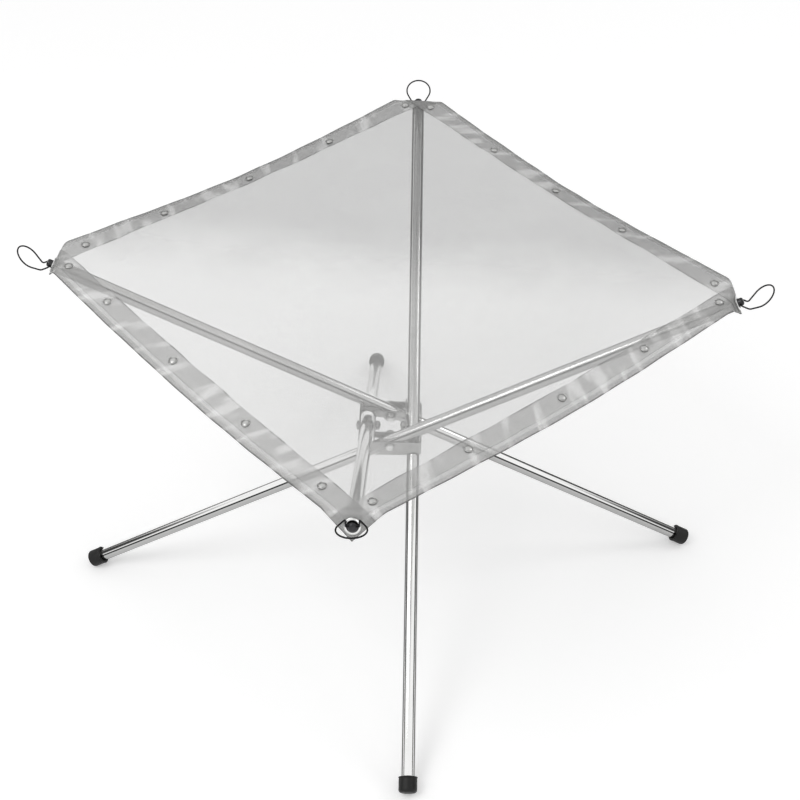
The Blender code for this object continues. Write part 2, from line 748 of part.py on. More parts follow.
def add_spring_clip(side, pivot):
    curve = bpy.data.curves.new("spring_clip_" + side, "CURVE")
    curve.dimensions = "3D"
    curve.bevel_depth = WIRE_RADIUS
    curve.bevel_resolution = 2
    curve.use_fill_caps = True
    path = clip_path()
    line = curve.splines.new("POLY")
    line.points.add(len(path) - 1)
    for point, place in zip(line.points, path):
        point.co = (*place, 1.0)
    add_object("spring_clip_" + side, curve, Matrix.Identity(4), WIRE_STEEL, pivot)


def add_leg_cutters():
    """Room for the tubes in the hub's frame, the pin holes, the clip holes and the ground."""
    play = []
    pin_holes = []
    clip_holes = []
    reach = LEG_OFFSET
    for side, turn in LEGS:
        room = cylinder_mesh("tube_room_" + side, TUBE_RADIUS + HUB_TUBE_PLAY, -reach * 2.2, -reach * 0.55)
        play.append(add_cutter("tube_room_" + side, room, leg_frame(turn) @ ALONG_X))
        bar = cylinder_mesh("pin_hole_" + side, PIN_HOLE_RADIUS, -reach * 0.5, reach * 0.5, 16)
        pin_frame = quarter(turn) @ Matrix.Translation((0.0, -LEG_OFFSET, PIN_HEIGHT)) @ ALONG_Y
        pin_holes.append(add_cutter("pin_hole_" + side, bar, pin_frame))
        hole_radius = WIRE_RADIUS + CLIP_HOLE_CLEARANCE
        bar = cylinder_mesh("clip_hole_" + side, hole_radius, -TUBE_RADIUS, TUBE_RADIUS, SMALL_STEPS)
        clip_holes.append(add_cutter("clip_hole_" + side, bar, clip_frame(side, turn) @ ALONG_Y))
    shape = bmesh.new()
    span = 3 * LOWER_REACH
    bmesh.ops.create_cube(shape, size=1.0, matrix=Matrix.Diagonal((span, span, 0.1, 1.0)))
    mesh = bpy.data.meshes.new("ground")
    shape.to_mesh(mesh)
    shape.free()
    ground = add_cutter("ground", mesh, Matrix.Translation((0.0, 0.0, -0.05)))
    return play, pin_holes, clip_holes, ground


def build():
    play, pin_holes, clip_holes, ground = add_leg_cutters()
    add_hub_frame(play, pin_holes)
    add_hub_core(pin_holes)
    for (side, turn), pin_hole, clip_hole in zip(LEGS, pin_holes, clip_holes):
        pivot = add_pivot("leg_pivot_" + side, leg_frame(turn))
        add_leg_pin(side, turn)
        add_tube(side, pivot, pin_hole)
        add_foot_cap(side, pivot, ground)
        add_tip_plug(side, pivot, clip_hole)
        clip_pivot = add_pivot("clip_pivot_" + side, clip_frame(side, turn))
        add_spring_clip(side, clip_pivot)
        add_eyelet(side, turn)
    eyelet_places = [quarter(turn) @ eyelet_spot() for side, turn in HEMS]
    rivet_places = [quarter(turn) @ spot for side, turn in HEMS for spot in rivet_spots(side)]
    eyelet_holes = add_hole_cutter("eyelet_holes", EYELET_HOLE_RADIUS, eyelet_places)
    rivet_holes = add_hole_cutter("rivet_holes", RIVET_HOLE_RADIUS, rivet_places)
    add_sheet(eyelet_holes, rivet_holes)
    for side, turn in HEMS:
        add_hem(side, turn, eyelet_holes, rivet_holes)
        add_rivets(side, turn)
    bpy.context.view_layer.update()


build()
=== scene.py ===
# %% [markdown]
# # A folding fire pit, dressed over its CAD frame
#
# The real object is a square of fine steel gauze, stretched between the tips of four crossed tubes.
# The frame gives every size and every joint. This lesson gives each piece its true surface: gauze
# with folded hems, polished tubes, a stamped hub, rubber feet and spring wire clips. Each new piece
# stands for one or more nodes of the frame. The frame's hard parts ride on the same body as their
# nodes, so they move when the nodes do; the cloth and its rivets stay where they are placed.

import math

import bpy
from mathutils import Matrix, Vector


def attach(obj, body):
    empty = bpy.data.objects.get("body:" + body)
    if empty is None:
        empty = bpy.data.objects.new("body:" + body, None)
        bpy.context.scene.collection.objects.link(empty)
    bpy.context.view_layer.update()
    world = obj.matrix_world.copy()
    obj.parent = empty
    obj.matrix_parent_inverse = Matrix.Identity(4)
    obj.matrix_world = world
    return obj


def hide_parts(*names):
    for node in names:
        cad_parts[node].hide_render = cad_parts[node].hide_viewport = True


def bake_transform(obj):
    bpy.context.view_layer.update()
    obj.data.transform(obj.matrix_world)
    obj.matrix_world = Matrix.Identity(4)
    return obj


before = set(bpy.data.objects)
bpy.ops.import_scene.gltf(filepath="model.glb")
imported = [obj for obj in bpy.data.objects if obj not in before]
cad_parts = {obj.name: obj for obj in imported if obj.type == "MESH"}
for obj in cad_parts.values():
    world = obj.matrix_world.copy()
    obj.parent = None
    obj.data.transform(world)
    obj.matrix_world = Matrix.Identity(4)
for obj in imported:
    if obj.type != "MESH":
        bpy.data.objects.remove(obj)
bpy.ops.object.select_all(action="DESELECT")
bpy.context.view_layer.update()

# %% [markdown]
# ## The camera comes first
#
# A comparison with a photograph is only fair from the photograph's own place. The camera stands in
# front, 42 degrees up and about 2 metres away, with a long lens. A small shift moves the picture
# in its frame without turning the camera, which keeps upright lines as they are.

# %% Stand the camera
CAMERA_AZIMUTH = math.radians(-1.239)
CAMERA_ELEVATION = math.radians(41.659)
CAMERA_DISTANCE = 1.9936
CAMERA_TARGET = Vector((0.0, 0.0, 0.2128))
LENS, SENSOR = 76.35, 36.0
SHIFT_X, SHIFT_Y = 0.0120, 0.0319

bpy.ops.object.camera_add()
camera = bpy.context.active_object
camera.name = "camera"
level, rise = math.cos(CAMERA_ELEVATION), math.sin(CAMERA_ELEVATION)
away = Vector((-math.sin(CAMERA_AZIMUTH) * level, -math.cos(CAMERA_AZIMUTH) * level, rise))
camera.location = CAMERA_TARGET + away * CAMERA_DISTANCE
camera.rotation_euler = (math.pi / 2 - CAMERA_ELEVATION, 0.0, -CAMERA_AZIMUTH)
camera.data.sensor_width = SENSOR
camera.data.lens = LENS
camera.data.shift_x = SHIFT_X
camera.data.shift_y = SHIFT_Y
camera.data.clip_end = 50.0
bpy.context.scene.camera = camera
print("camera at", [round(x, 3) for x in camera.location])

# %% [markdown]
# ## Sizes that the pieces share
#
# These are the frame's own sizes, in metres. Every piece below is placed from them, so nothing has
# to be fitted by eye. Each leg has a frame of its own: the origin is on its pin, X runs up the tube
# and Y along the pin. The gauze has one too, turned so that its diagonals point to the tube tips.

# %% Sizes and frames
SHEET_SIDE = 0.560
HALF_SIDE = SHEET_SIDE / 2
HALF_DIAGONAL = HALF_SIDE * math.sqrt(2)
SHEET_SAG = 0.006
EDGE_SAG = 0.004
HEM_WIDTH = 0.030
HEM_DROOP = 0.008
FOLD_LINE = 0.0098
EYELET_FROM_TIP = 0.0155
LEG_TILT = math.radians(29.0)
LEG_OFFSET = 0.027
LOWER_REACH = 0.425
TUBE_RADIUS = 0.0075
PIN_HOLE = 0.0033
CAP_RADIUS = 0.0103
CAP_ROUNDING = 0.0035
CAP_WEAR = 0.001
# Between fitted parts, and on the edges of cut ones
PLAY = 0.0003
SOFT_EDGE = 0.0003
# The corner's tab starts this far from the corner, measured along the sheet's side
TAB_SIDE = 0.045
BEND_START = TAB_SIDE / math.sqrt(2)
BEND_END = 0.035 / math.sqrt(2)
BEND_ANGLE = math.pi / 2 - LEG_TILT
BEND_RADIUS = (BEND_START - BEND_END) / BEND_ANGLE

LEGS = (("right", 0.0), ("back", 90.0), ("left", 180.0), ("front", 270.0))
CORNERS = dict(LEGS)
SIDES = (("back_right", 0.0), ("back_left", 90.0), ("front_left", 180.0), ("front_right", 270.0))


def tab_drop(from_tip):
    """Outward travel and fall of a point of the corner tab, from where its bend starts."""
    bent = min((BEND_START - from_tip) / BEND_RADIUS, BEND_ANGLE)
    straight = max(BEND_END - from_tip, 0.0)
    out = BEND_RADIUS * math.sin(bent) + straight * math.cos(bent)
    fall = BEND_RADIUS * (1 - math.cos(bent)) + straight * math.sin(bent)
    return out, fall


EYELET_OUT, EYELET_FALL = tab_drop(EYELET_FROM_TIP)
EYELET_RADIUS = HALF_DIAGONAL - BEND_START + EYELET_OUT
TIP_REACH = math.sqrt(EYELET_RADIUS**2 - LEG_OFFSET**2)
SHEET_TURN = math.asin(LEG_OFFSET / EYELET_RADIUS)
UPPER_REACH = TIP_REACH / math.cos(LEG_TILT)
PIN_HEIGHT = (
    (LOWER_REACH - CAP_ROUNDING) * math.sin(LEG_TILT)
    + (CAP_RADIUS - CAP_ROUNDING) * math.cos(LEG_TILT)
    + CAP_ROUNDING
    - CAP_WEAR
)
SHEET_HEIGHT = PIN_HEIGHT + TIP_REACH * math.tan(LEG_TILT) + EYELET_FALL
ALONG_X = Matrix.Rotation(math.pi / 2, 4, "Y")
ALONG_Y = Matrix.Rotation(-math.pi / 2, 4, "X")


def quarter(turn):
    return Matrix.Rotation(math.radians(turn), 4, "Z")


PIN_FRAME = Matrix.Translation((0.0, -LEG_OFFSET, PIN_HEIGHT))
LEG_FRAME = PIN_FRAME @ Matrix.Rotation(-LEG_TILT, 4, "Y")
SHEET_FRAME = Matrix.Translation((0.0, 0.0, SHEET_HEIGHT)) @ quarter(-45.0 - math.degrees(SHEET_TURN))
print("pins at", round(PIN_HEIGHT, 4), "gauze at", round(SHEET_HEIGHT, 4))
print("tube reach", round(UPPER_REACH, 4))

# %% [markdown]
# ## Helpers for working by hand
#
# An operator acts on whatever is selected, so each helper first selects one piece alone. A finished
# piece has its place in its mesh and its object at the origin: the frame's nodes are made like that,
# and a pattern on Object coordinates then stays where it was painted.


# %% Select, place and finish a piece
def pick(piece):
    bpy.ops.object.select_all(action="DESELECT")
    piece.select_set(True)
    bpy.context.view_layer.objects.active = piece


def edit_all(piece):
    """Open a piece in edit mode, with all of it selected."""
    pick(piece)
    bpy.ops.object.mode_set(mode="EDIT")
    bpy.ops.mesh.select_all(action="SELECT")


def call_it(name):
    piece = bpy.context.active_object
    piece.name = name
    piece.data.name = name
    return piece


def settle(piece, placement):
    """Move a piece to its place and write that place into its mesh."""
    pick(piece)
    piece.matrix_world = placement @ piece.matrix_world
    bpy.ops.object.transform_apply(location=True, rotation=True, scale=True)
    return piece


def apply_modifiers(piece):
    pick(piece)
    for step in list(piece.modifiers):
        bpy.ops.object.modifier_apply(modifier=step.name)


def smooth(piece, angle=35.0):
    pick(piece)
    bpy.ops.object.shade_smooth_by_angle(angle=math.radians(angle))


def round_edges(piece, width):
    """Soften every sharp edge: no real edge is perfectly sharp, and a soft one catches the light."""
    bevel = piece.modifiers.new("edges", "BEVEL")
    bevel.width = width
    bevel.segments = 2
    bevel.limit_method = "ANGLE"
    bevel.angle_limit = math.radians(40.0)
    apply_modifiers(piece)


def give_thickness(piece, thickness, offset, even=False):
    wall = piece.modifiers.new("wall", "SOLIDIFY")
    wall.thickness = thickness
    wall.offset = offset
    wall.use_even_offset = even
    apply_modifiers(piece)


def combine(piece, other, operation):
    """Cut one piece with another or join the two, and throw the other away."""
    step = piece.modifiers.new("combine", "BOOLEAN")
    step.operation = operation
    step.solver = "EXACT"
    step.object = other
    apply_modifiers(piece)
    bpy.data.objects.remove(other, do_unlink=True)


def drill(piece, placement, radius, depth, vertices=32, shift=0.0):
    """Drill a round hole along the Z axis of the placement."""
    bpy.ops.mesh.primitive_cylinder_add(
        vertices=vertices, radius=radius, depth=depth, location=(0.0, 0.0, shift)
    )
    combine(piece, settle(call_it("drill"), placement), "DIFFERENCE")


def chain(name, points):
    """One vertex, extruded from point to point: a bare line of edges, left in edit mode."""
    bpy.ops.mesh.primitive_plane_add(size=0.001)
    piece = call_it(name)
    bpy.ops.object.mode_set(mode="EDIT")
    bpy.ops.mesh.select_mode(type="VERT")
    bpy.ops.mesh.select_all(action="SELECT")
    bpy.ops.mesh.merge(type="CENTER")
    bpy.ops.transform.translate(value=points[0])
    for before, after in zip(points, points[1:]):
        bpy.ops.mesh.extrude_region_move(
            TRANSFORM_OT_translate={"value": Vector(after) - Vector(before)}
        )
    return piece


def turned(name, profile, steps):
    """Spin a profile of (radius, height) points about Z, as on a lathe."""
    piece = chain(name, [(r, 0.0, z) for r, z in profile])
    bpy.ops.mesh.select_all(action="SELECT")
    bpy.ops.mesh.spin(steps=steps, angle=math.tau, center=(0, 0, 0), axis=(0, 0, 1))
    bpy.ops.mesh.select_all(action="SELECT")
    bpy.ops.mesh.remove_doubles(threshold=0.00001)
    bpy.ops.mesh.normals_make_consistent(inside=False)
    bpy.ops.object.mode_set(mode="OBJECT")
    smooth(piece)
    # Keep each point's radius, in millimetres, so that a finish can follow the turning
    radius = piece.data.attributes.new(name="radius", type="FLOAT", domain="POINT")
    for vertex in piece.data.vertices:
        radius.data[vertex.index].value = 1000.0 * math.hypot(vertex.co.x, vertex.co.y)
    return piece


def arc(centre, radius, start, end, count):
    points = []
    for i in range(count + 1):
        angle = math.radians(start + (end - start) * i / count)
        points.append((centre[0] + radius * math.cos(angle), centre[1] + radius * math.sin(angle)))
    return points


def copies(piece, base, places):
    """A turned copy with its own mesh for each place. The first piece is then thrown away."""
    made = {}
    for name, turn in places:
        pick(piece)
        bpy.ops.object.duplicate(linked=False)
        twin = call_it(base + "_" + name)
        twin.rotation_euler = (0.0, 0.0, math.radians(turn))
        bpy.ops.object.transform_apply(location=True, rotation=True, scale=True)
        made[name] = twin
    bpy.data.objects.remove(piece, do_unlink=True)
    return made


# %% [markdown]
# ## Finishes
#
# A finish is more than a colour. Polished tube has fine marks along its length, stamped plate has a
# duller, cloudy skin, and rubber has a bloom and small scuffs. Each is built from noise that moves
# the colour, the roughness and a shallow bump. What stays the same all over is set on the shader's
# own socket. Patterns read Object coordinates, or the piece's UV map where they follow its surface.


# %% Start a material
def new_finish(name, colour, roughness, metallic):
    finish = bpy.data.materials.new(name)
    finish.use_nodes = True
    tree = finish.node_tree
    shader = tree.nodes["Principled BSDF"]
    values = {"Base Color": (*colour, 1.0), "Roughness": roughness, "Metallic": metallic}
    feed(tree, shader, values)
    return finish, tree, shader


def feed(tree, node, inputs):
    """Give each input its value, or link it to the socket that it follows."""
    for key, value in inputs.items():
        if isinstance(value, bpy.types.NodeSocket):
            tree.links.new(value, node.inputs[key])
        else:
            node.inputs[key].default_value = value


def add_node(tree, kind, inputs, **settings):
    node = tree.nodes.new(kind)
    for key, value in settings.items():
        setattr(node, key, value)
    feed(tree, node, inputs)
    return node


def math_node(tree, operation, first, second=0.0, clamp=False):
    """A Math node: each side is a socket or a number."""
    inputs = {0: first, 1: second}
    return add_node(tree, "ShaderNodeMath", inputs, operation=operation, use_clamp=clamp).outputs[0]


def plus(tree, first, second):
    return math_node(tree, "ADD", first, second)


def times(tree, first, second):
    return math_node(tree, "MULTIPLY", first, second)


def coordinates(tree, kind):
    return add_node(tree, "ShaderNodeTexCoord", {}).outputs[kind]


def axes(tree, vector):
    """A vector's X, Y and Z, each as a socket of that name."""
    return add_node(tree, "ShaderNodeSeparateXYZ", {0: vector}).outputs


def stretched(tree, source, scale):
    inputs = {"Vector": source, "Scale": scale}
    return add_node(tree, "ShaderNodeMapping", inputs).outputs["Vector"]


def ramp(tree, source, stops, smooth_steps=False):
    """A colour ramp: each stop is a place and a colour, or a place and a grey."""
    node = add_node(tree, "ShaderNodeValToRGB", {"Fac": source})
    node.color_ramp.interpolation = "EASE" if smooth_steps else "LINEAR"
    elements = node.color_ramp.elements
    while len(elements) < len(stops):
        elements.new(0.5)
    for element, (place, colour) in zip(elements, stops):
        element.position = place
        element.color = (*colour, 1.0) if hasattr(colour, "__len__") else (colour, colour, colour, 1.0)
    return node.outputs["Color"]


def noise(tree, vector, scale, detail, roughness=0.5):
    inputs = {"Vector": vector, "Scale": scale, "Detail": detail, "Roughness": roughness}
    return add_node(tree, "ShaderNodeTexNoise", inputs).outputs["Fac"]


def bump(tree, height, distance, strength):
    inputs = {"Height": height, "Distance": distance, "Strength": strength}
    return add_node(tree, "ShaderNodeBump", inputs).outputs["Normal"]


def mixed(tree, way, first, second, share=1.0):
    """Two colours mixed, such as multiplied or laid one over the other."""
    inputs = {0: share, 6: first, 7: second}
    return add_node(tree, "ShaderNodeMix", inputs, data_type="RGBA", blend_type=way).outputs[2]


# %% Polished tube: fine marks along its length, and painted reflections round it
def polished_tube():
    finish, tree, shader = new_finish("polished_tube", (0.88, 0.88, 0.87), 0.10, 1.0)
    flat, place = coordinates(tree, "UV"), coordinates(tree, "Object")
    marks = noise(tree, stretched(tree, flat, (60.0, 6.0, 1.0)), 5.0, 4.0, 0.6)
    cloud = noise(tree, place, 22.0, 2.0)
    both = plus(tree, times(tree, marks, 0.6), times(tree, cloud, 0.4))
    rough = ramp(tree, both, [(0.3, 0.06), (0.7, 0.14)])
    skin = ramp(tree, both, [(0.25, (0.82, 0.82, 0.81)), (0.75, (0.95, 0.95, 0.945))])
    # The map's first axis runs once round the tube: a sine of it is 1 on top and -1 underneath
    upward = math_node(tree, "SINE", times(tree, axes(tree, flat)["X"], math.tau))
    height = plus(tree, times(tree, upward, 0.5), 0.5)
    # Painted reflection and shade: by height round the tube, a dark underside, a grey middle, a thin dark
    # line and a white top stand in for the surroundings that the tube would reflect
    stops = [(0.22, 0.06), (0.31, 0.50), (0.69, 0.55), (0.715, 0.04), (0.795, 0.04), (0.82, 1.0)]
    skin = mixed(tree, "MULTIPLY", skin, ramp(tree, height, stops))
    # The upper halves, above the pins, are a little darker
    stops = [(PIN_HEIGHT - 0.02, 1.0), (PIN_HEIGHT + 0.02, 0.80)]
    skin = mixed(tree, "MULTIPLY", skin, ramp(tree, axes(tree, place)["Z"], stops))
    normal = bump(tree, marks, 0.00002, 0.5)
    feed(tree, shader, {"Base Color": skin, "Roughness": rough, "Normal": normal})
    return finish


# %% Plain metals: stamped plate, pins, eyelets, plugs and spring wire
def cloudy_metal(name, dark, bright, roughness, scale, shaded_ring=None):
    """A worn metal skin: large soft clouds and fine grain, both in colour and in roughness.

    A shaded ring darkens a turned piece between four radii in millimetres: painted shade at the rim of a
    head or flange, or in a pressed ring.
    """
    finish, tree, shader = new_finish(name, bright, roughness[0], 1.0)
    place = coordinates(tree, "Object")
    cloud = noise(tree, place, scale, 4.0, 0.55)
    grain = noise(tree, place, scale * 14.0, 3.0, 0.6)
    both = plus(tree, times(tree, cloud, 0.65), times(tree, grain, 0.35))
    skin = ramp(tree, both, [(0.3, dark), (0.7, bright)])
    if shaded_ring is not None:
        # Painted shade: the colour is darkened between these radii
        # A ramp ends at 1, so it reads the radius in centimetres
        radius = add_node(tree, "ShaderNodeAttribute", {}, attribute_name="radius").outputs["Fac"]
        stops = [(r / 10, tone) for r, tone in zip(shaded_ring, (1.0, 0.50, 0.50, 0.9))]
        skin = mixed(tree, "MULTIPLY", skin, ramp(tree, times(tree, radius, 0.1), stops))
    rough = ramp(tree, both, [(0.3, roughness[1]), (0.7, roughness[0])])
    normal = bump(tree, grain, 0.00003, 0.6)
    feed(tree, shader, {"Base Color": skin, "Roughness": rough, "Normal": normal})
    return finish


# %% Rubber: black, a little dusty, with faint scuffs
def cap_rubber():
    finish, tree, shader = new_finish("cap_rubber", (0.012, 0.012, 0.012), 0.5, 0.0)
    place = coordinates(tree, "Object")
    dust = noise(tree, place, 90.0, 5.0, 0.6)
    skin = ramp(tree, dust, [(0.35, (0.006, 0.006, 0.006)), (0.75, (0.020, 0.020, 0.019))])
    rough = ramp(tree, dust, [(0.3, 0.38), (0.8, 0.62)])
    normal = bump(tree, noise(tree, place, 900.0, 2.0), 0.00006, 0.5)
    feed(tree, shader, {"Base Color": skin, "Roughness": rough, "Normal": normal})
    feed(tree, shader, {"Specular IOR Level": 0.28})
    return finish


# %% [markdown]
# ## Gauze
#
# The sheet is woven from fine steel wire, about 16 wires to the centimetre. From where the camera
# stands the holes are far too small to see: they only make the cloth see-through. The weave is
# worked out from the UV map, which holds each point's place on the flat cloth in metres. A sine
# across the wires gives their round backs, and the two directions take turns at lying on top.

# %% Weave
WIRE_PITCH = 0.00064
# Closer than this to a line where two parts of the cloth meet, nothing is drawn
SEAM = 0.00002


def weave(tree, flat):
    """Cover (1 on a wire, 0 in a hole) and height of a plain weave."""
    across = times(tree, flat["X"], math.pi / WIRE_PITCH)
    along = times(tree, flat["Y"], math.pi / WIRE_PITCH)
    warp = math_node(tree, "ABSOLUTE", math_node(tree, "SINE", across))
    weft = math_node(tree, "ABSOLUTE", math_node(tree, "SINE", along))
    over = times(tree, math_node(tree, "COSINE", across), math_node(tree, "COSINE", along))
    cover = math_node(tree, "MAXIMUM", warp, weft)
    return cover, plus(tree, cover, times(tree, over, 0.35))


def folded_band(tree, flat, tone, stopped):
    """The look across a hem: its layers, painted shade at its edge, its fold's line and its raw edge, and
    painted sheen on its creases.
    """
    band = HEM_WIDTH + 0.001
    inward = times(tree, flat["Y"], 1.0 / band)
    fold = FOLD_LINE / band
    # A dark edge, a pale outer strip, the fold's line, the inner band, its raw edge. The dark edge, fold
    # line and raw edge are painted shade, and the inner band is darker than the outer strip by painted
    # shade between its layers
    places = (0.0, 0.022, 0.04, fold - 0.012, fold, fold + 0.022, 0.93, 0.955)
    tones = (0.30, 0.30, 0.93, 0.93, 0.55, 0.84, 0.84, 0.50)
    covers = (0.30, 0.30, 0.03, 0.03, 0.26, 0.15, 0.15, 0.30)
    tone = mixed(tree, "MULTIPLY", tone, ramp(tree, inward, list(zip(places, tones))))
    stopped = plus(tree, stopped, ramp(tree, inward, list(zip(places, covers))))
    # Painted sheen: pale streaks where the band is creased across, for light caught on the creases
    slant = plus(tree, times(tree, flat["X"], 46.0), times(tree, flat["Y"], 20.0))
    place = add_node(tree, "ShaderNodeCombineXYZ", {"X": slant, "Y": times(tree, flat["Y"], 14.0)})
    sheen_streaks = noise(tree, place.outputs[0], 1.0, 2.0, 0.55)
    painted_sheen = ramp(tree, sheen_streaks, [(0.50, 0.0), (0.64, 1.0)], smooth_steps=True)
    tone = mixed(tree, "MIX", tone, (0.95, 0.95, 0.94, 1.0), times(tree, painted_sheen, 0.6))
    return tone, math_node(tree, "SUBTRACT", stopped, times(tree, painted_sheen, 0.12))


def gauze(name, dark, bright, thin, thick, soot_and_shade_tone, hem=False):
    """See-through cloth. thin and thick are the share of light that holes and wires stop.

    The number after thick is the share of the colour left on the far half, which is darkened partly for
    soot and heat tint, and partly as painted shade.
    """
    finish, tree, shader = new_finish(name, bright, 0.5, 0.3)
    flat, place = axes(tree, coordinates(tree, "UV")), coordinates(tree, "Object")
    cover, height = weave(tree, flat)
    cloud = noise(tree, place, 9.0, 4.0, 0.55)
    stopped = plus(tree, thin, times(tree, math_node(tree, "POWER", cover, 3.0), thick - thin))
    stopped = plus(tree, stopped, times(tree, math_node(tree, "SUBTRACT", cloud, 0.5), 0.08))
    tone = ramp(tree, cloud, [(0.3, dark), (0.7, bright)])
    # The far half is darkened a little: partly soot and heat tint, partly painted shade
    spot = axes(tree, place)
    depth = plus(tree, spot["Y"], times(tree, spot["X"], 0.11))
    depth = plus(tree, depth, times(tree, cloud, 0.10))
    soot_and_shade = ramp(tree, depth, [(0.01, 0.0), (0.165, 1.0)], smooth_steps=True)
    tone = mixed(tree, "MULTIPLY", tone, ramp(tree, soot_and_shade, [(0.0, 1.0), (1.0, soot_and_shade_tone)]))
    # The real cloth is one piece, so the walls where its parts meet in the model stay unseen
    from_seam = math_node(tree, "ABSOLUTE", flat["X"])
    if hem:
        tone, stopped = folded_band(tree, flat, tone, stopped)
    else:
        stopped = plus(tree, stopped, times(tree, soot_and_shade, 0.05))
        from_seam = math_node(tree, "MINIMUM", from_seam, math_node(tree, "ABSOLUTE", flat["Y"]))
    stopped = times(tree, stopped, math_node(tree, "GREATER_THAN", from_seam, SEAM))
    stopped = math_node(tree, "MINIMUM", stopped, 0.95, clamp=True)
    normal = bump(tree, height, 0.0001, 0.35)
    feed(tree, shader, {"Base Color": tone, "Alpha": stopped, "Normal": normal})
    return finish


# %% Make the finishes
TUBE_STEEL = polished_tube()
HUB_PLATE_STEEL = cloudy_metal(
    "hub_plate", (0.27, 0.27, 0.27), (0.43, 0.43, 0.42), (0.30, 0.45), 60.0
)
# The pin's ring is painted shade round the edge of its domed head
PIN_STEEL = cloudy_metal(
    "pin_steel", (0.52, 0.52, 0.51), (0.80, 0.80, 0.79), (0.12, 0.24), 120.0, (3.2, 4.4, 5.4, 6.5)
)
# The eyelet's ring is painted shade at the rim of its flange
EYELET_STEEL = cloudy_metal(
    "eyelet_steel", (0.74, 0.74, 0.73), (0.93, 0.93, 0.92), (0.06, 0.15), 140.0, (7.5, 8.2, 8.6, 9.5)
)
# The rivet's ring is painted shade in its pressed ring
RIVET_STEEL = cloudy_metal(
    "rivet_steel", (0.48, 0.48, 0.47), (0.62, 0.62, 0.61), (0.30, 0.45), 160.0, (3.0, 3.5, 3.9, 4.4)
)
PLUG_STEEL = cloudy_metal(
    "plug_steel", (0.020, 0.020, 0.021), (0.085, 0.085, 0.088), (0.08, 0.18), 120.0
)
WIRE_STEEL = cloudy_metal(
    "spring_wire", (0.008, 0.008, 0.009), (0.040, 0.040, 0.042), (0.10, 0.20), 150.0
)
RUBBER = cap_rubber()
SHEET_GAUZE = gauze("sheet_gauze", (0.65, 0.65, 0.64), (0.74, 0.74, 0.73), 0.11, 0.37, 0.49)
HEM_GAUZE = gauze("hem_gauze", (0.55, 0.55, 0.54), (0.67, 0.67, 0.66), 0.14, 0.32, 0.78, hem=True)


def dress(piece, finish, slot, body, *nodes):
    """Give a finished piece its material, hang it on its body if it has one, and hide the nodes it stands
    for.
    """
    piece.data.materials.clear()
    piece.data.materials.append(finish)
    if body is not None:
        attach(piece, body)
    if nodes:
        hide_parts(*nodes)


def one_a_leg(piece, base, finish, slot, node):
    """Copy a piece round, and dress each copy to ride on its own leg."""
    for side, twin in copies(piece, base, LEGS).items():
        dress(twin, finish, slot, "leg_" + side, node + side)
    print(base + "s:", len(LEGS))


print("finishes:", len([m for m in bpy.data.materials if m.use_nodes]))

# %% [markdown]
# ## Tubes
#
# Four straight stainless tubes, 15 mm across. A cylinder without ends is given a wall, its edges
# are softened, and the pin's hole is drilled through the middle.

# %% Draw one tube and copy it round
TUBE_WALL = 0.0012
PLUG_RIM = 0.0020
CAP_FLOOR = 0.0060
# The cloth, its hems and the washer lie between the plug's shoulder and the eyelet
CLOTH_ROOM = 0.0022
SHOULDER = UPPER_REACH - CLOTH_ROOM - TUBE_RADIUS * math.sin(SHEET_TURN)
TUBE_TOP = SHOULDER - PLUG_RIM - PLAY
TUBE_BOTTOM = CAP_FLOOR + PLAY - LOWER_REACH
bpy.ops.mesh.primitive_cylinder_add(
    vertices=96, radius=TUBE_RADIUS, depth=TUBE_TOP - TUBE_BOTTOM, end_fill_type="NOTHING",
    location=(0.0, 0.0, (TUBE_TOP + TUBE_BOTTOM) / 2),
)
tube = call_it("tube")
give_thickness(tube, TUBE_WALL, -1.0)
round_edges(tube, SOFT_EDGE)
settle(tube, LEG_FRAME @ ALONG_X)
drill(tube, PIN_FRAME @ ALONG_Y, PIN_HOLE, 0.03, 48)
smooth(tube)
one_a_leg(tube, "tube", TUBE_STEEL, "bright_steel", "leg_tube_")

# %% [markdown]
# ## Foot caps
#
# A rubber cap is moulded round, so it is turned from a profile: a deep bore for the tube, a small
# lip at its mouth and a rounded nose. Where it stands it is worn flat, so the ground's plane cuts it.

# %% Turn one cap and copy it round
CAP_LENGTH = 0.0175
nose = -LOWER_REACH
bore, mouth = TUBE_RADIUS + PLAY, nose + CAP_LENGTH
rounding = (CAP_RADIUS - CAP_ROUNDING, nose + CAP_ROUNDING)
cap_profile = [(0.0, nose + CAP_FLOOR), (bore - 0.0006, nose + CAP_FLOOR)]
cap_profile += [(bore, nose + CAP_FLOOR + 0.0006), (bore, mouth - 0.0004), (bore + 0.0004, mouth)]
cap_profile += [(CAP_RADIUS, mouth)]
cap_profile += arc((CAP_RADIUS - 0.0004, mouth - 0.0008), 0.0008, 80.0, -80.0, 6)
cap_profile += [(CAP_RADIUS - 0.0001, mouth - 0.0022), (CAP_RADIUS, mouth - 0.0030)]
cap_profile += arc(rounding, CAP_ROUNDING, 0.0, -90.0, 10)
cap_profile += [(CAP_RADIUS * 0.3, nose), (0.0, nose)]
cap = turned("cap", cap_profile, 72)
settle(cap, LEG_FRAME @ ALONG_X)
edit_all(cap)
bpy.ops.mesh.bisect(plane_co=(0, 0, 0.00001), plane_no=(0, 0, 1), clear_inner=True, use_fill=True)
bpy.ops.object.mode_set(mode="OBJECT")
smooth(cap)
one_a_leg(cap, "cap", RUBBER, "black_rubber", "foot_cap_")

# %% [markdown]
# ## Tip plugs
#
# The plug closes the tube's upper end. Its shoulder matches the tube, and a slimmer neck with a
# domed end passes through the gauze's eyelet. The spring clip's wire goes through a cross hole.

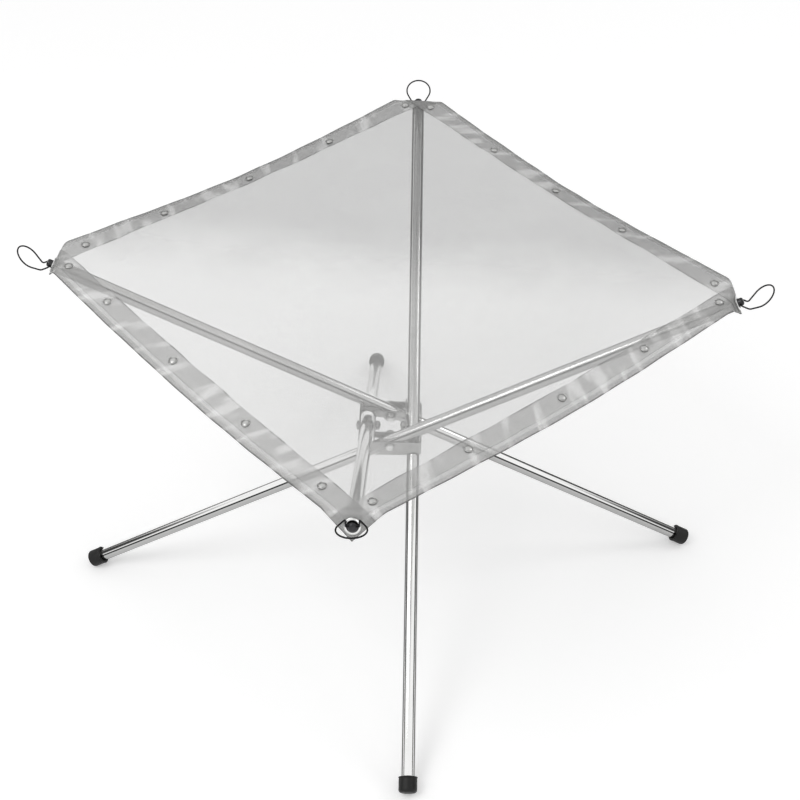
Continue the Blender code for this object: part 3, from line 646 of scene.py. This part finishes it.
# %% Turn one plug, drill it and copy it round
NECK, NECK_END = 0.0045, UPPER_REACH + 0.0085
NECK_DOME = 0.0022
SHANK, SHANK_END = 0.0061, TUBE_TOP - 0.020
CROSS_HOLE = 0.0013
CLIP_HOLE = LEG_FRAME @ Matrix.Translation((UPPER_REACH + 0.0048, 0.0, 0.0))
plug_profile = [(0.0, NECK_END)]
plug_profile += arc((NECK - NECK_DOME, NECK_END - NECK_DOME), NECK_DOME, 80.0, 0.0, 6)
plug_profile += [(NECK, SHOULDER + 0.0004), (NECK + 0.0004, SHOULDER)]
plug_profile += arc((TUBE_RADIUS - 0.0004, SHOULDER - 0.0004), 0.0004, 90.0, 0.0, 3)
plug_profile += [(TUBE_RADIUS, SHOULDER - PLUG_RIM + 0.0003), (TUBE_RADIUS - 0.0003, SHOULDER - PLUG_RIM)]
plug_profile += [(SHANK, SHOULDER - PLUG_RIM), (SHANK, SHANK_END + 0.0005)]
plug_profile += [(SHANK - 0.0005, SHANK_END), (0.0, SHANK_END)]
plug = turned("plug", plug_profile, 64)
settle(plug, LEG_FRAME @ ALONG_X)
drill(plug, CLIP_HOLE @ ALONG_Y, CROSS_HOLE, 0.02)
smooth(plug)
one_a_leg(plug, "plug", PLUG_STEEL, "plug_steel", "tip_plug_")

# %% [markdown]
# ## Spring clips
#
# One length of spring wire makes each clip: two short feet in the cross hole, a neck, and a round
# loop for a finger. Its line is drawn point by point, made a curve, and given the wire's thickness.
# A clip swings freely, so each rests at its own angle, and the front one was fitted the other way up.

# %% Bend one clip and copy it round
WIRE_RADIUS = 0.0009
WIRE_BEND = 0.0025
CLIP_SWINGS = {"right": 0.0, "back": -15.0, "left": 0.0, "front": 59.0}
CLIP_LENGTH = 0.034
FOOT_SPAN, NECK_SPAN, NECK_LENGTH = 0.0025, 0.0066, 0.011
LOOP_RADIUS = 0.0146
LOOP_MIDDLE = CLIP_LENGTH - LOOP_RADIUS - WIRE_RADIUS
neck_tilt, loop_tilt = math.radians(-25.0), math.radians(45.0)
kink = Vector((NECK_LENGTH * math.cos(neck_tilt), NECK_SPAN, NECK_LENGTH * math.sin(neck_tilt)))


def rounded(before, corner, after):
    """A corner of the wire as a smooth bend, from one straight to the next."""
    start = corner - (corner - before).normalized() * WIRE_BEND
    end = corner + (after - corner).normalized() * WIRE_BEND
    steps = [i / 8 for i in range(9)]
    return [start * (1 - t) ** 2 + corner * 2 * t * (1 - t) + end * t**2 for t in steps]


def on_loop(along, across):
    return Vector((kink.x + along * math.cos(loop_tilt), across, kink.z + along * math.sin(loop_tilt)))


# The loop starts where a line from the kink just touches its circle
reach = math.hypot(LOOP_MIDDLE, kink.y)
first = math.pi - math.atan2(kink.y, LOOP_MIDDLE) - math.acos(LOOP_RADIUS / reach)
loop = []
for i in range(49):
    angle = first * (1 - 2 * i / 48)
    loop.append(on_loop(LOOP_MIDDLE + LOOP_RADIUS * math.cos(angle), LOOP_RADIUS * math.sin(angle)))
foot, elbow = Vector((0.0, FOOT_SPAN, 0.0)), Vector((0.0, kink.y, 0.0))
half_clip = [foot] + rounded(foot, elbow, kink) + rounded(elbow, kink, loop[0])
clip_line = half_clip + loop + [Vector((p.x, -p.y, p.z)) for p in reversed(half_clip)]
clip = chain("clip", clip_line)
bpy.ops.object.mode_set(mode="OBJECT")
bpy.ops.object.convert(target="CURVE")
clip.data.bevel_depth = WIRE_RADIUS
clip.data.bevel_resolution = 4
clip.data.use_fill_caps = True
bpy.ops.object.convert(target="MESH")
clip = bpy.context.active_object
edit_all(clip)
bpy.ops.mesh.remove_doubles(threshold=0.00001)
bpy.ops.mesh.normals_make_consistent(inside=False)
bpy.ops.object.mode_set(mode="OBJECT")
smooth(clip, 60.0)
for side, piece in copies(clip, "clip", [(side, 0.0) for side in CORNERS]).items():
    swing = Matrix.Rotation(LEG_TILT - math.radians(CLIP_SWINGS[side]), 4, "Y")
    over = Matrix.Rotation(math.pi if side == "front" else 0.0, 4, "X")
    settle(piece, quarter(CORNERS[side]) @ CLIP_HOLE @ swing @ over)
    dress(piece, WIRE_STEEL, "spring_wire", "clip_" + side, "spring_clip_" + side)
wire_length = sum((b - a).length for a, b in zip(clip_line, clip_line[1:]))
print("clips:", len(LEGS), "of wire", round(wire_length, 3), "m long")

# %% [markdown]
# ## Hub
#
# The hub is bent from sheet steel, 1.6 mm thick. Outside is a square band with round corners. Inside,
# four short plates meet like a pinwheel. Each tube is held between the band and a plate by one pin,
# low on one side and high on the other, so the band is notched where a tube passes under it.

# %% Bend the outer band
PLATE = 0.0016
TUBE_ROOM = 0.008
HUB_OUTSIDE = LEG_OFFSET + TUBE_ROOM + PLATE
BAND_LOW, BAND_HIGH = PIN_HEIGHT - 0.013, PIN_HEIGHT + 0.006
BAND_CORNER = 0.005


def choose(piece, kind, wanted):
    """Select the faces or edges that are wanted, and open the piece in edit mode."""
    bpy.ops.object.mode_set(mode="EDIT")
    bpy.ops.mesh.select_mode(type=kind)
    bpy.ops.mesh.select_all(action="DESELECT")
    bpy.ops.object.mode_set(mode="OBJECT")
    for element in piece.data.polygons if kind == "FACE" else piece.data.edges:
        element.select = wanted(element)
    bpy.ops.object.mode_set(mode="EDIT")


def is_upright(edge):
    ends = [band.data.vertices[i].co for i in edge.vertices]
    return abs(ends[0].z - ends[1].z) > 0.01


bpy.ops.mesh.primitive_cube_add(
    size=1.0, location=(0, 0, (BAND_LOW + BAND_HIGH) / 2),
    scale=(2 * HUB_OUTSIDE, 2 * HUB_OUTSIDE, BAND_HIGH - BAND_LOW),
)
band = call_it("hub_band")
bpy.ops.object.transform_apply(location=True, rotation=True, scale=True)
choose(band, "FACE", lambda face: abs(face.normal.z) > 0.5)
bpy.ops.mesh.delete(type="ONLY_FACE")
choose(band, "EDGE", is_upright)
bpy.ops.mesh.bevel(offset=BAND_CORNER, segments=10)
bpy.ops.object.mode_set(mode="OBJECT")
give_thickness(band, PLATE, -1.0, even=True)
for side, turn in LEGS:
    # A notch for the tube's lower half, and the pin's hole
    drill(band, quarter(turn) @ LEG_FRAME @ ALONG_X, TUBE_RADIUS + 0.0025, 0.045, 64, -0.037)
    drill(band, quarter(turn) @ PIN_FRAME @ ALONG_Y, PIN_HOLE, 0.027)
round_edges(band, SOFT_EDGE)
smooth(band)
dress(band, HUB_PLATE_STEEL, "hub_steel", "hub", "hub_outer_frame")
print("hub band:", len(band.data.polygons), "faces")

# %% Cut the four inner plates and join them
CORE = LEG_OFFSET - TUBE_ROOM - PLATE / 2
LOBE = 0.009
PLATE_TOP, ARCH_TOP, TAB_TOP = 0.006, 0.007, 0.012
shoulder = -LOBE * math.sin(math.radians(20.0))
joint, reach = CORE + PLATE / 2, HUB_OUTSIDE - PLATE - PLAY
past, brow = joint + PLATE / 2, shoulder * 0.5
arch = ARCH_TOP - brow
outline = [(-CORE, PLATE_TOP), (-CORE, shoulder + PLATE / 2)]
outline += arc((0.0, 0.0), LOBE, 200.0, 340.0, 24)
outline += [(past, brow)] + arc((past + arch, brow), arch, 165.0, 90.0, 10)
outline += [(reach, ARCH_TOP), (reach, TAB_TOP), (past, TAB_TOP)]
outline += [(joint - PLATE * 3, TAB_TOP - PLATE / 2), (joint - PLATE * 5, PLATE_TOP + PLATE / 2)]
outline += [(joint - PLATE * 7, PLATE_TOP)]


def core_plate(name):
    plate = chain(name, [(x, 0.0, z) for x, z in outline])
    bpy.ops.mesh.select_all(action="SELECT")
    bpy.ops.mesh.edge_face_add()
    bpy.ops.object.mode_set(mode="OBJECT")
    give_thickness(plate, PLATE, 0.0)
    return settle(plate, Matrix.Translation((0.0, -CORE, PIN_HEIGHT)))


plates = [settle(core_plate("core_plate_" + side), quarter(turn)) for side, turn in LEGS]
core = plates[0]
for plate in plates[1:]:
    combine(core, plate, "UNION")
for side, turn in LEGS:
    drill(core, quarter(turn) @ PIN_FRAME @ ALONG_Y, PIN_HOLE, 0.027)
core.name = core.data.name = "hub_core"
round_edges(core, 0.00025)
smooth(core)
dress(core, HUB_PLATE_STEEL, "hub_steel", "hub", "hub_inner_frame")
print("hub core:", len(core.data.polygons), "faces")

# %% [markdown]
# ## Pivot pins
#
# Each pin is a rivet with a low head outside and a tall domed head inside. Both are turned in one
# profile along the pin.

# %% Turn one pin and copy it round
PIN_FACE = 0.0099
PIN_HEAD, PIN_SHANK = 0.0055, 0.003
rim = PIN_HEAD - 0.0003
tall_dome, low_dome = arc((0, 0), 1, 78.0, 0.0, 6), arc((0, 0), 1, 0.0, -84.0, 6)
pin_profile = [(0.0, PIN_FACE + 0.0060)]
pin_profile += [(PIN_HEAD * x, PIN_FACE + 0.0021 + 0.0039 * z) for x, z in tall_dome]
pin_profile += [(PIN_HEAD, PIN_FACE + 0.0003), (rim, PIN_FACE), (PIN_SHANK, PIN_FACE)]
pin_profile += [(PIN_SHANK, -PIN_FACE), (rim, -PIN_FACE), (PIN_HEAD, -PIN_FACE - 0.0003)]
pin_profile += [(PIN_HEAD * x, -PIN_FACE - 0.0010 + 0.0028 * z) for x, z in low_dome]
pin_profile += [(0.0, -PIN_FACE - 0.0038)]
pin = turned("pin", pin_profile, 48)
settle(pin, PIN_FRAME @ ALONG_Y)
for side, piece in copies(pin, "pin", LEGS).items():
    dress(piece, PIN_STEEL, "bright_steel", "hub", "leg_pin_" + side)
print("pins:", len(LEGS))

# %% [markdown]
# ## The shape of the cloth
#
# The cloth starts flat, and one function says where each flat point ends up. It sags a little in
# the middle, has small waves where it was handled, and turns down at each corner until it stands
# square to the tube. The hems, rivets and eyelets use the same function, so they always fit it.


# %% One function for the sheet, its hems and its rivets
def ease(value, low, high):
    share = min(max((value - low) / (high - low), 0.0), 1.0)
    return share * share * (3 - 2 * share)


def waves(u, v):
    """Small unevenness of handled cloth, in metres."""
    broad = math.sin(17.0 * u + 5.0 * v + 0.7) * math.sin(13.0 * v - 6.0 * u + 1.9)
    fine = math.sin(61.0 * u + 23.0 * v) * math.sin(47.0 * v - 19.0 * u + 0.4)
    near_edge = ease(max(abs(u), abs(v)), 0.19, 0.25)
    ripple = math.sin(95.0 * (u if abs(v) > abs(u) else v) + 3.0 * (u + v)) * near_edge
    return 0.0007 * broad + 0.00025 * fine + 0.0003 * ripple


def sag_at(u, v):
    """How far the cloth hangs: most in the middle, and again along the hems, which droop outwards."""
    along, across = math.cos(math.pi * u / SHEET_SIDE), math.cos(math.pi * v / SHEET_SIDE)
    sag = EDGE_SAG * (along**2 + across**2 - along**2 * across**2) + SHEET_SAG * along * across
    into_hem = (max(abs(u), abs(v)) - (HALF_SIDE - HEM_WIDTH)) / HEM_WIDTH
    from_middle = min(abs(u), abs(v)) / (HALF_SIDE - TAB_SIDE)
    if into_hem > 0 and from_middle < 1:
        sag += HEM_DROOP * into_hem * (1 - from_middle**2)
    return sag


def cloth_place(u, v):
    """Where a point of the flat sheet ends up. The waves die out before the corners' bends."""
    corner = Vector((math.copysign(1.0, u), math.copysign(1.0, v), 0.0)).normalized()
    from_tip = HALF_DIAGONAL - (u * corner.x + v * corner.y)
    calm = ease(from_tip, BEND_START, BEND_START + 0.05)
    place = Vector((u, v, calm * waves(u, v) - sag_at(u, v)))
    if from_tip < BEND_START:
        out, fall = tab_drop(from_tip)
        place += corner * (out - (BEND_START - from_tip)) - Vector((0.0, 0.0, fall))
    return place


def sheet_point(u, v):
    """Place and surface normal of a point of the cloth, from its place on the flat sheet."""
    step = 0.00125
    slope_u = cloth_place(u + step, v) - cloth_place(u - step, v)
    slope_v = cloth_place(u, v + step) - cloth_place(u, v - step)
    return cloth_place(u, v), slope_u.cross(slope_v).normalized()


def surface_frame(u, v):
    place, normal = sheet_point(u, v)
    return Matrix.Translation(place) @ normal.to_track_quat("Z", "Y").to_matrix().to_4x4()


eyelet_in = HALF_SIDE - EYELET_FROM_TIP / math.sqrt(2)
EYELET_SPOT = surface_frame(eyelet_in, eyelet_in)


def fold_with(piece):
    """Write the piece's place into its mesh. It is not hung on a leg or on the hub."""
    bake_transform(piece)


# %% [markdown]
# ## The gauze sheet
#
# Each quarter of the sheet is a piece of its own. Its grid is fine near the tip, where the cloth bends,
# and wider elsewhere. After its points are moved it gets the cloth's thickness, and a hole is cut for
# the eyelet.

# %% Weave the four quarters
SHEET_THICKNESS = 0.0003
EYELET_HOLE = 0.0063
FINE, WIDE = 24, 44


def cloth_grid(name, rows):
    """A flat grid from 0 to 1 both ways, with the cloth's lines along X and some rows along Y."""
    bpy.ops.mesh.primitive_grid_add(
        x_subdivisions=FINE + WIDE, y_subdivisions=rows, size=1.0, location=(0.5, 0.5, 0.0)
    )
    piece = call_it(name)
    bpy.ops.object.transform_apply(location=True, rotation=True, scale=True)
    return piece


def graded(share):
    """Grid line number, as a share, to metres from the middle: the tab has the close lines."""
    line = share * (FINE + WIDE)
    inner = HALF_SIDE - TAB_SIDE
    return line / WIDE * inner if line <= WIDE else inner + (line - WIDE) / FINE * TAB_SIDE


def write_uv(piece, places):
    layer = piece.data.uv_layers[0]
    layer.name = "UVMap"
    for corner in piece.data.loops:
        layer.data[corner.index].uv = places[corner.vertex_index]


def punch(piece, turn):
    drill(piece, SHEET_FRAME @ quarter(turn) @ EYELET_SPOT, EYELET_HOLE, 0.006, 48)


for side, turn in LEGS:
    sheet = cloth_grid("gauze_" + side, FINE + WIDE)
    flat = []
    for vertex in sheet.data.vertices:
        spot = quarter(turn) @ Vector((graded(vertex.co.x), graded(vertex.co.y), 0.0))
        flat.append((spot.x, spot.y))
        vertex.co = cloth_place(spot.x, spot.y)
    write_uv(sheet, flat)
    settle(sheet, SHEET_FRAME)
    give_thickness(sheet, SHEET_THICKNESS, -1.0)
    punch(sheet, turn)
    smooth(sheet, 60.0)
    dress(sheet, SHEET_GAUZE, "steel_gauze", None)
    fold_with(sheet)
    print("gauze", side, len(sheet.data.polygons), "faces")
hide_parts("mesh_sheet")

# %% [markdown]
# ## Hems
#
# Along each side the gauze is folded over and its raw edge turned in, so the band has an outer strip
# of fewer layers and an inner one of more. Seen flat on, the fold runs round the sheet's edge and a
# little way underneath. The hems of two opposite sides lie over those of the other two, which makes
# a darker patch in each corner. Each hem is cut in the middle into two halves.

# %% Fold the eight half hems
HEM_THICKNESS = 0.00032
HEM_STEP, HEM_UNDER = 0.00022, -0.0008
UNDER, OVER = 0.00050, 0.00092
NEXT_CORNER = {
    "back_right": ("right", "back"),
    "back_left": ("back", "left"),
    "front_left": ("left", "front"),
    "front_right": ("front", "right"),
}
# Soft folds that run across the hem: metres along it, width and height
CREASES = {
    "back_right": ((0.030, 0.008, 0.0008), (-0.140, 0.007, -0.0007)),
    "back_left": ((0.100, 0.008, 0.0008), (-0.060, 0.007, 0.0007), (-0.190, 0.008, -0.0006)),
    "front_left": (
        (0.085, 0.006, 0.0010), (0.060, 0.005, -0.0008), (0.150, 0.008, 0.0009),
        (-0.040, 0.007, 0.0007), (-0.165, 0.009, -0.0008),
    ),
    "front_right": (
        (0.055, 0.006, 0.0009), (0.175, 0.006, -0.0009),
        (-0.070, 0.008, 0.0008), (-0.180, 0.007, 0.0007),
    ),
}


def hem_section(lift):
    """Points across a hem: metres in from the sheet's edge, and metres above its face."""
    inner, outer, low = FOLD_LINE + 0.0005, FOLD_LINE - 0.0006, lift - HEM_STEP
    middle, radius = (low + HEM_UNDER) / 2, (low - HEM_UNDER) / 2
    turns = [a / 2 for a in range(3, -4, -1)]
    section = [(HEM_WIDTH, lift), (HEM_WIDTH - 0.0015, lift)]
    section += [(inner + (HEM_WIDTH - 0.002 - inner) * (1 - i / 7), lift) for i in range(8)]
    section += [(FOLD_LINE, lift - 0.0001), (outer, low)]
    section += [(outer * (1 - i / 4), low) for i in range(1, 4)]
    section += [(0.0006 - radius * math.cos(a), middle + radius * math.sin(a)) for a in turns]
    section += [(0.003, HEM_UNDER), (0.006, HEM_UNDER)]
    return section


def crease(side, along, inward):
    """Height of a hem's creases at a place along it. They fade towards its edges and corners."""
    height = 0.0
    for middle, width, rise in CREASES[side]:
        slanted = along - middle - 0.35 * (inward - HEM_WIDTH / 2)
        height += rise * math.exp(-(slanted / width) ** 2)
    from_corner = HALF_SIDE - abs(along)
    return height * ease(inward, 0.002, 0.012) * ease(from_corner, TAB_SIDE, TAB_SIDE + 0.015)


def half_hem(name, side, turn, end, lift):
    """Half of one side's hem. end is 1 or -1: which way along the side this half runs."""
    section = hem_section(lift)
    hem = cloth_grid(name, len(section) - 1)
    outwards = quarter(turn) @ Vector((0.0, 1.0, 0.0))
    flat = []
    for vertex in hem.data.vertices:
        along = end * graded(vertex.co.x)
        inward, height = section[round(vertex.co.y * (len(section) - 1))]
        # The turned-in edge wanders a little
        if inward > HEM_WIDTH - 0.006:
            inward += 0.0005 * math.sin(70.0 * along + turn)
        flat.append((along, inward))
        spot = quarter(turn) @ Vector((along, HALF_SIDE - max(inward, 0.0), 0.0))
        place, normal = sheet_point(spot.x, spot.y)
        past_edge = outwards * max(-inward, 0.0)
        vertex.co = place + past_edge + normal * (height + crease(side, along, inward))
    write_uv(hem, flat)
    if end > 0:
        edit_all(hem)
        bpy.ops.mesh.flip_normals()
        bpy.ops.object.mode_set(mode="OBJECT")
    settle(hem, SHEET_FRAME)
    give_thickness(hem, HEM_THICKNESS, 0.0)
    return hem


for side, turn in SIDES:
    lift = OVER if side in ("front_left", "back_right") else UNDER
    for end, corner in zip((1, -1), NEXT_CORNER[side]):
        hem = half_hem("hem_cloth_%s_to_%s" % (side, corner), side, turn, end, lift)
        punch(hem, CORNERS[corner])
        smooth(hem, 50.0)
        dress(hem, HEM_GAUZE, "hem_gauze", None)
        fold_with(hem)
        if end > 0:
            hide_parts("hem_" + side)
    print("hem", side, len(hem.data.polygons), "faces a half")

# %% [markdown]
# ## Hem rivets
#
# Five flat rivets hold each hem down. Their heads are low discs with a pressed ring near the rim,
# which shows as a thin circle from a distance; painted shade darkens the ring.

# %% Press one rivet and copy it along the hems
RIVET_PITCH = 0.120
RIVET_LINE = HALF_SIDE - 0.019
RIVET_SHIFTS = {
    "back_right": (0.003, 0.001, -0.012, -0.024, -0.005),
    "back_left": (0.015, 0.0, 0.0, 0.0, 0.0),
    "front_left": (0.026, 0.029, 0.036, 0.040, -0.002),
    "front_right": (0.000, -0.006, -0.008, -0.002, -0.002),
}
# The head from its middle to its rim, the shank, and the set end under the cloth
rivet_profile = [(0.0, 0.0026), (0.0012, 0.00255), (0.0024, 0.0024), (0.0030, 0.0021)]
rivet_profile += [(0.0034, 0.0019), (0.0038, 0.0020), (0.0042, 0.0023), (0.0045, 0.00215)]
rivet_profile += [(0.0047, 0.0018), (0.0047, 0.0014), (0.0015, 0.0014), (0.0015, -0.0011)]
rivet_profile += [(0.0038, -0.0011), (0.0038, -0.0014), (0.0030, -0.0020), (0.0, -0.0020)]
for side, turn in SIDES:
    for number in range(1, 6):
        along = (number - 3) * RIVET_PITCH + RIVET_SHIFTS[side][number - 1]
        rivet = turned("rivet", rivet_profile, 32)
        spot = quarter(turn) @ Vector((along, RIVET_LINE, 0.0))
        settle(rivet, SHEET_FRAME @ surface_frame(spot.x, spot.y))
        rivet = call_it("hem_stud_%s_%d" % (side, number))
        corner = NEXT_CORNER[side][0 if along > 0 else 1]
        dress(rivet, RIVET_STEEL, "eyelet_steel", None)
        fold_with(rivet)
        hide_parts("rivet_%s_%d" % (side, number))
print("rivets:", 5 * len(SIDES))

# %% [markdown]
# ## Corner eyelets
#
# A bright eyelet lines each corner's hole: a rolled flange on the face, a short barrel through the
# cloth, and a washer behind, over which the barrel's end is pressed.

# %% Turn one eyelet with its washer and copy them round
WIDE_EDGE, BORE = 0.0085, 0.0055
FACE = 0.0014
ring = [(BORE, FACE - 0.0003)]
ring += arc((BORE + 0.0009, FACE + 0.0006), 0.0009, 180.0, 90.0, 6)
ring += [(BORE + 0.0018, FACE + 0.00145), (WIDE_EDGE - 0.0008, FACE + 0.0009)]
ring += arc((WIDE_EDGE - 0.0004, FACE + 0.0004), 0.0004, 60.0, -90.0, 6)
ring += [(BORE + 0.0006, FACE), (BORE + 0.0006, -0.0016), (BORE + 0.0004, -0.0018)]
ring += [(BORE, -0.0018), (BORE, FACE - 0.0003)]
washer = [(0.0064, -0.0012), (0.0066, -0.0011), (0.0081, -0.0011), (0.0084, -0.0013)]
washer += [(0.0084, -0.0017), (0.0081, -0.0019), (0.0067, -0.0019), (0.0064, -0.0018)]
washer += [(0.0064, -0.0012)]
for base, profile, node in (("eyelet", ring, "corner_eyelet_"), ("washer", washer, "eyelet_washer_")):
    piece = turned(base, profile, 64)
    settle(piece, SHEET_FRAME @ EYELET_SPOT)
    one_a_leg(piece, base, EYELET_STEEL, "eyelet_steel", node)

# %% [markdown]
# ## The cloth's pieces
#
# Each quarter was cut as part of one square, and each half hem as a strip that is folded round the
# sheet's edge. Below, each half hem is only looked up by name.

for side, turn in SIDES:
    for corner in NEXT_CORNER[side]:
        strip = bpy.data.objects["hem_cloth_%s_to_%s" % (side, corner)]
print("sheets declared:", len(LEGS) + 2 * len(SIDES))

# %% [markdown]
# ## Floor and light
#
# The floor is plain and white. The camera, mirrors and clear parts see it and the sky as white, and
# the floor still takes the soft shadow of the object. The light itself stays plain, so that a
# colour looks as it is written. Polished metal shows what is round it: a dark band low in the sky
# behind, and a grey strip overhead, which only shiny surfaces see, draw lines along the tubes.

# %% Lay the floor
FLOOR_GLOW = 0.30
WHITE = (1.0, 1.0, 1.0, 1.0)
bpy.ops.mesh.primitive_plane_add(size=12.0, location=(0.0, 0.0, -0.0002))
floor = call_it("floor")
floor_finish, tree, shader = new_finish("floor_white", (0.90, 0.90, 0.90), 0.9, 0.0)
path = add_node(tree, "ShaderNodeLightPath", {}).outputs
seen = math_node(tree, "MAXIMUM", path["Is Glossy Ray"], path["Is Transmission Ray"])
seen = math_node(tree, "MAXIMUM", path["Is Camera Ray"], seen)
inputs = {"Color": WHITE, "Strength": times(tree, seen, FLOOR_GLOW)}
glow = add_node(tree, "ShaderNodeEmission", inputs)
both = add_node(tree, "ShaderNodeAddShader", {0: shader.outputs[0], 1: glow.outputs[0]})
feed(tree, tree.nodes["Material Output"], {"Surface": both.outputs[0]})
floor.data.materials.append(floor_finish)

# %% Light the sky
SKY_LIGHT = 0.62
world = bpy.data.worlds.new("studio")
bpy.context.scene.world = world
world.use_nodes = True
tree = world.node_tree


def either(share, first, second):
    """The first shader where the share is 0, and the second where it is 1."""
    return add_node(tree, "ShaderNodeMixShader", {0: share, 1: first, 2: second}).outputs[0]


plain = tree.nodes["Background"]
feed(tree, plain, {"Color": WHITE, "Strength": SKY_LIGHT})
white = add_node(tree, "ShaderNodeBackground", {"Color": WHITE, "Strength": 1.0})
way = axes(tree, coordinates(tree, "Generated"))
# The dark band is tilted a little: it lies low behind the object and nowhere else
height = math_node(tree, "SUBTRACT", way["Z"], times(tree, way["X"], 0.12))
low = ramp(tree, height, [(0.0, 0.04), (0.30, 0.05), (0.37, 1.0)])
behind = ramp(tree, way["Y"], [(0.25, 0.0), (0.45, 1.0)])
bands = mixed(tree, "MIX", WHITE, low, behind)
# The strip overhead is darkest just right of the middle
stops = [(0.47, 1.0), (0.53, 0.34), (0.60, 0.48), (0.68, 0.78), (0.90, 0.84), (1.0, 1.0)]
strip = ramp(tree, plus(tree, way["X"], 0.5), stops)
above = ramp(tree, way["Z"], [(0.78, 0.0), (0.86, 1.0)])
bands = mixed(tree, "MULTIPLY", bands, strip, above)
# Far to both sides it is dark
beside = ramp(tree, math_node(tree, "ABSOLUTE", way["X"]), [(0.90, 1.0), (0.945, 0.05)])
bands = mixed(tree, "MULTIPLY", bands, beside)
shiny = add_node(tree, "ShaderNodeBackground", {"Color": bands, "Strength": 1.0})
path = add_node(tree, "ShaderNodeLightPath", {}).outputs
seen = math_node(tree, "MAXIMUM", path["Is Camera Ray"], path["Is Transmission Ray"])
lit = either(path["Is Glossy Ray"], plain.outputs[0], shiny.outputs[0])
feed(tree, tree.nodes["World Output"], {"Surface": either(seen, lit, white.outputs[0])})
print("sky ready")


# %% Hang the lamps
def lamp(name, place, size, power):
    bpy.ops.object.light_add(type="AREA", location=place)
    light = bpy.context.active_object
    light.name = name
    light.data.shape = "RECTANGLE"
    light.data.size, light.data.size_y = size
    light.data.energy = power
    light.rotation_euler = (Vector((0, 0, 0.2)) - Vector(place)).to_track_quat("-Z", "Y").to_euler()


lamp("key", (-1.6, -1.2, 2.8), (1.6, 1.6), 26.0)
lamp("fill", (2.2, 0.8, 2.2), (1.0, 1.0), 8.0)
bpy.context.scene.view_settings.view_transform = "Standard"
print("lamps hung")
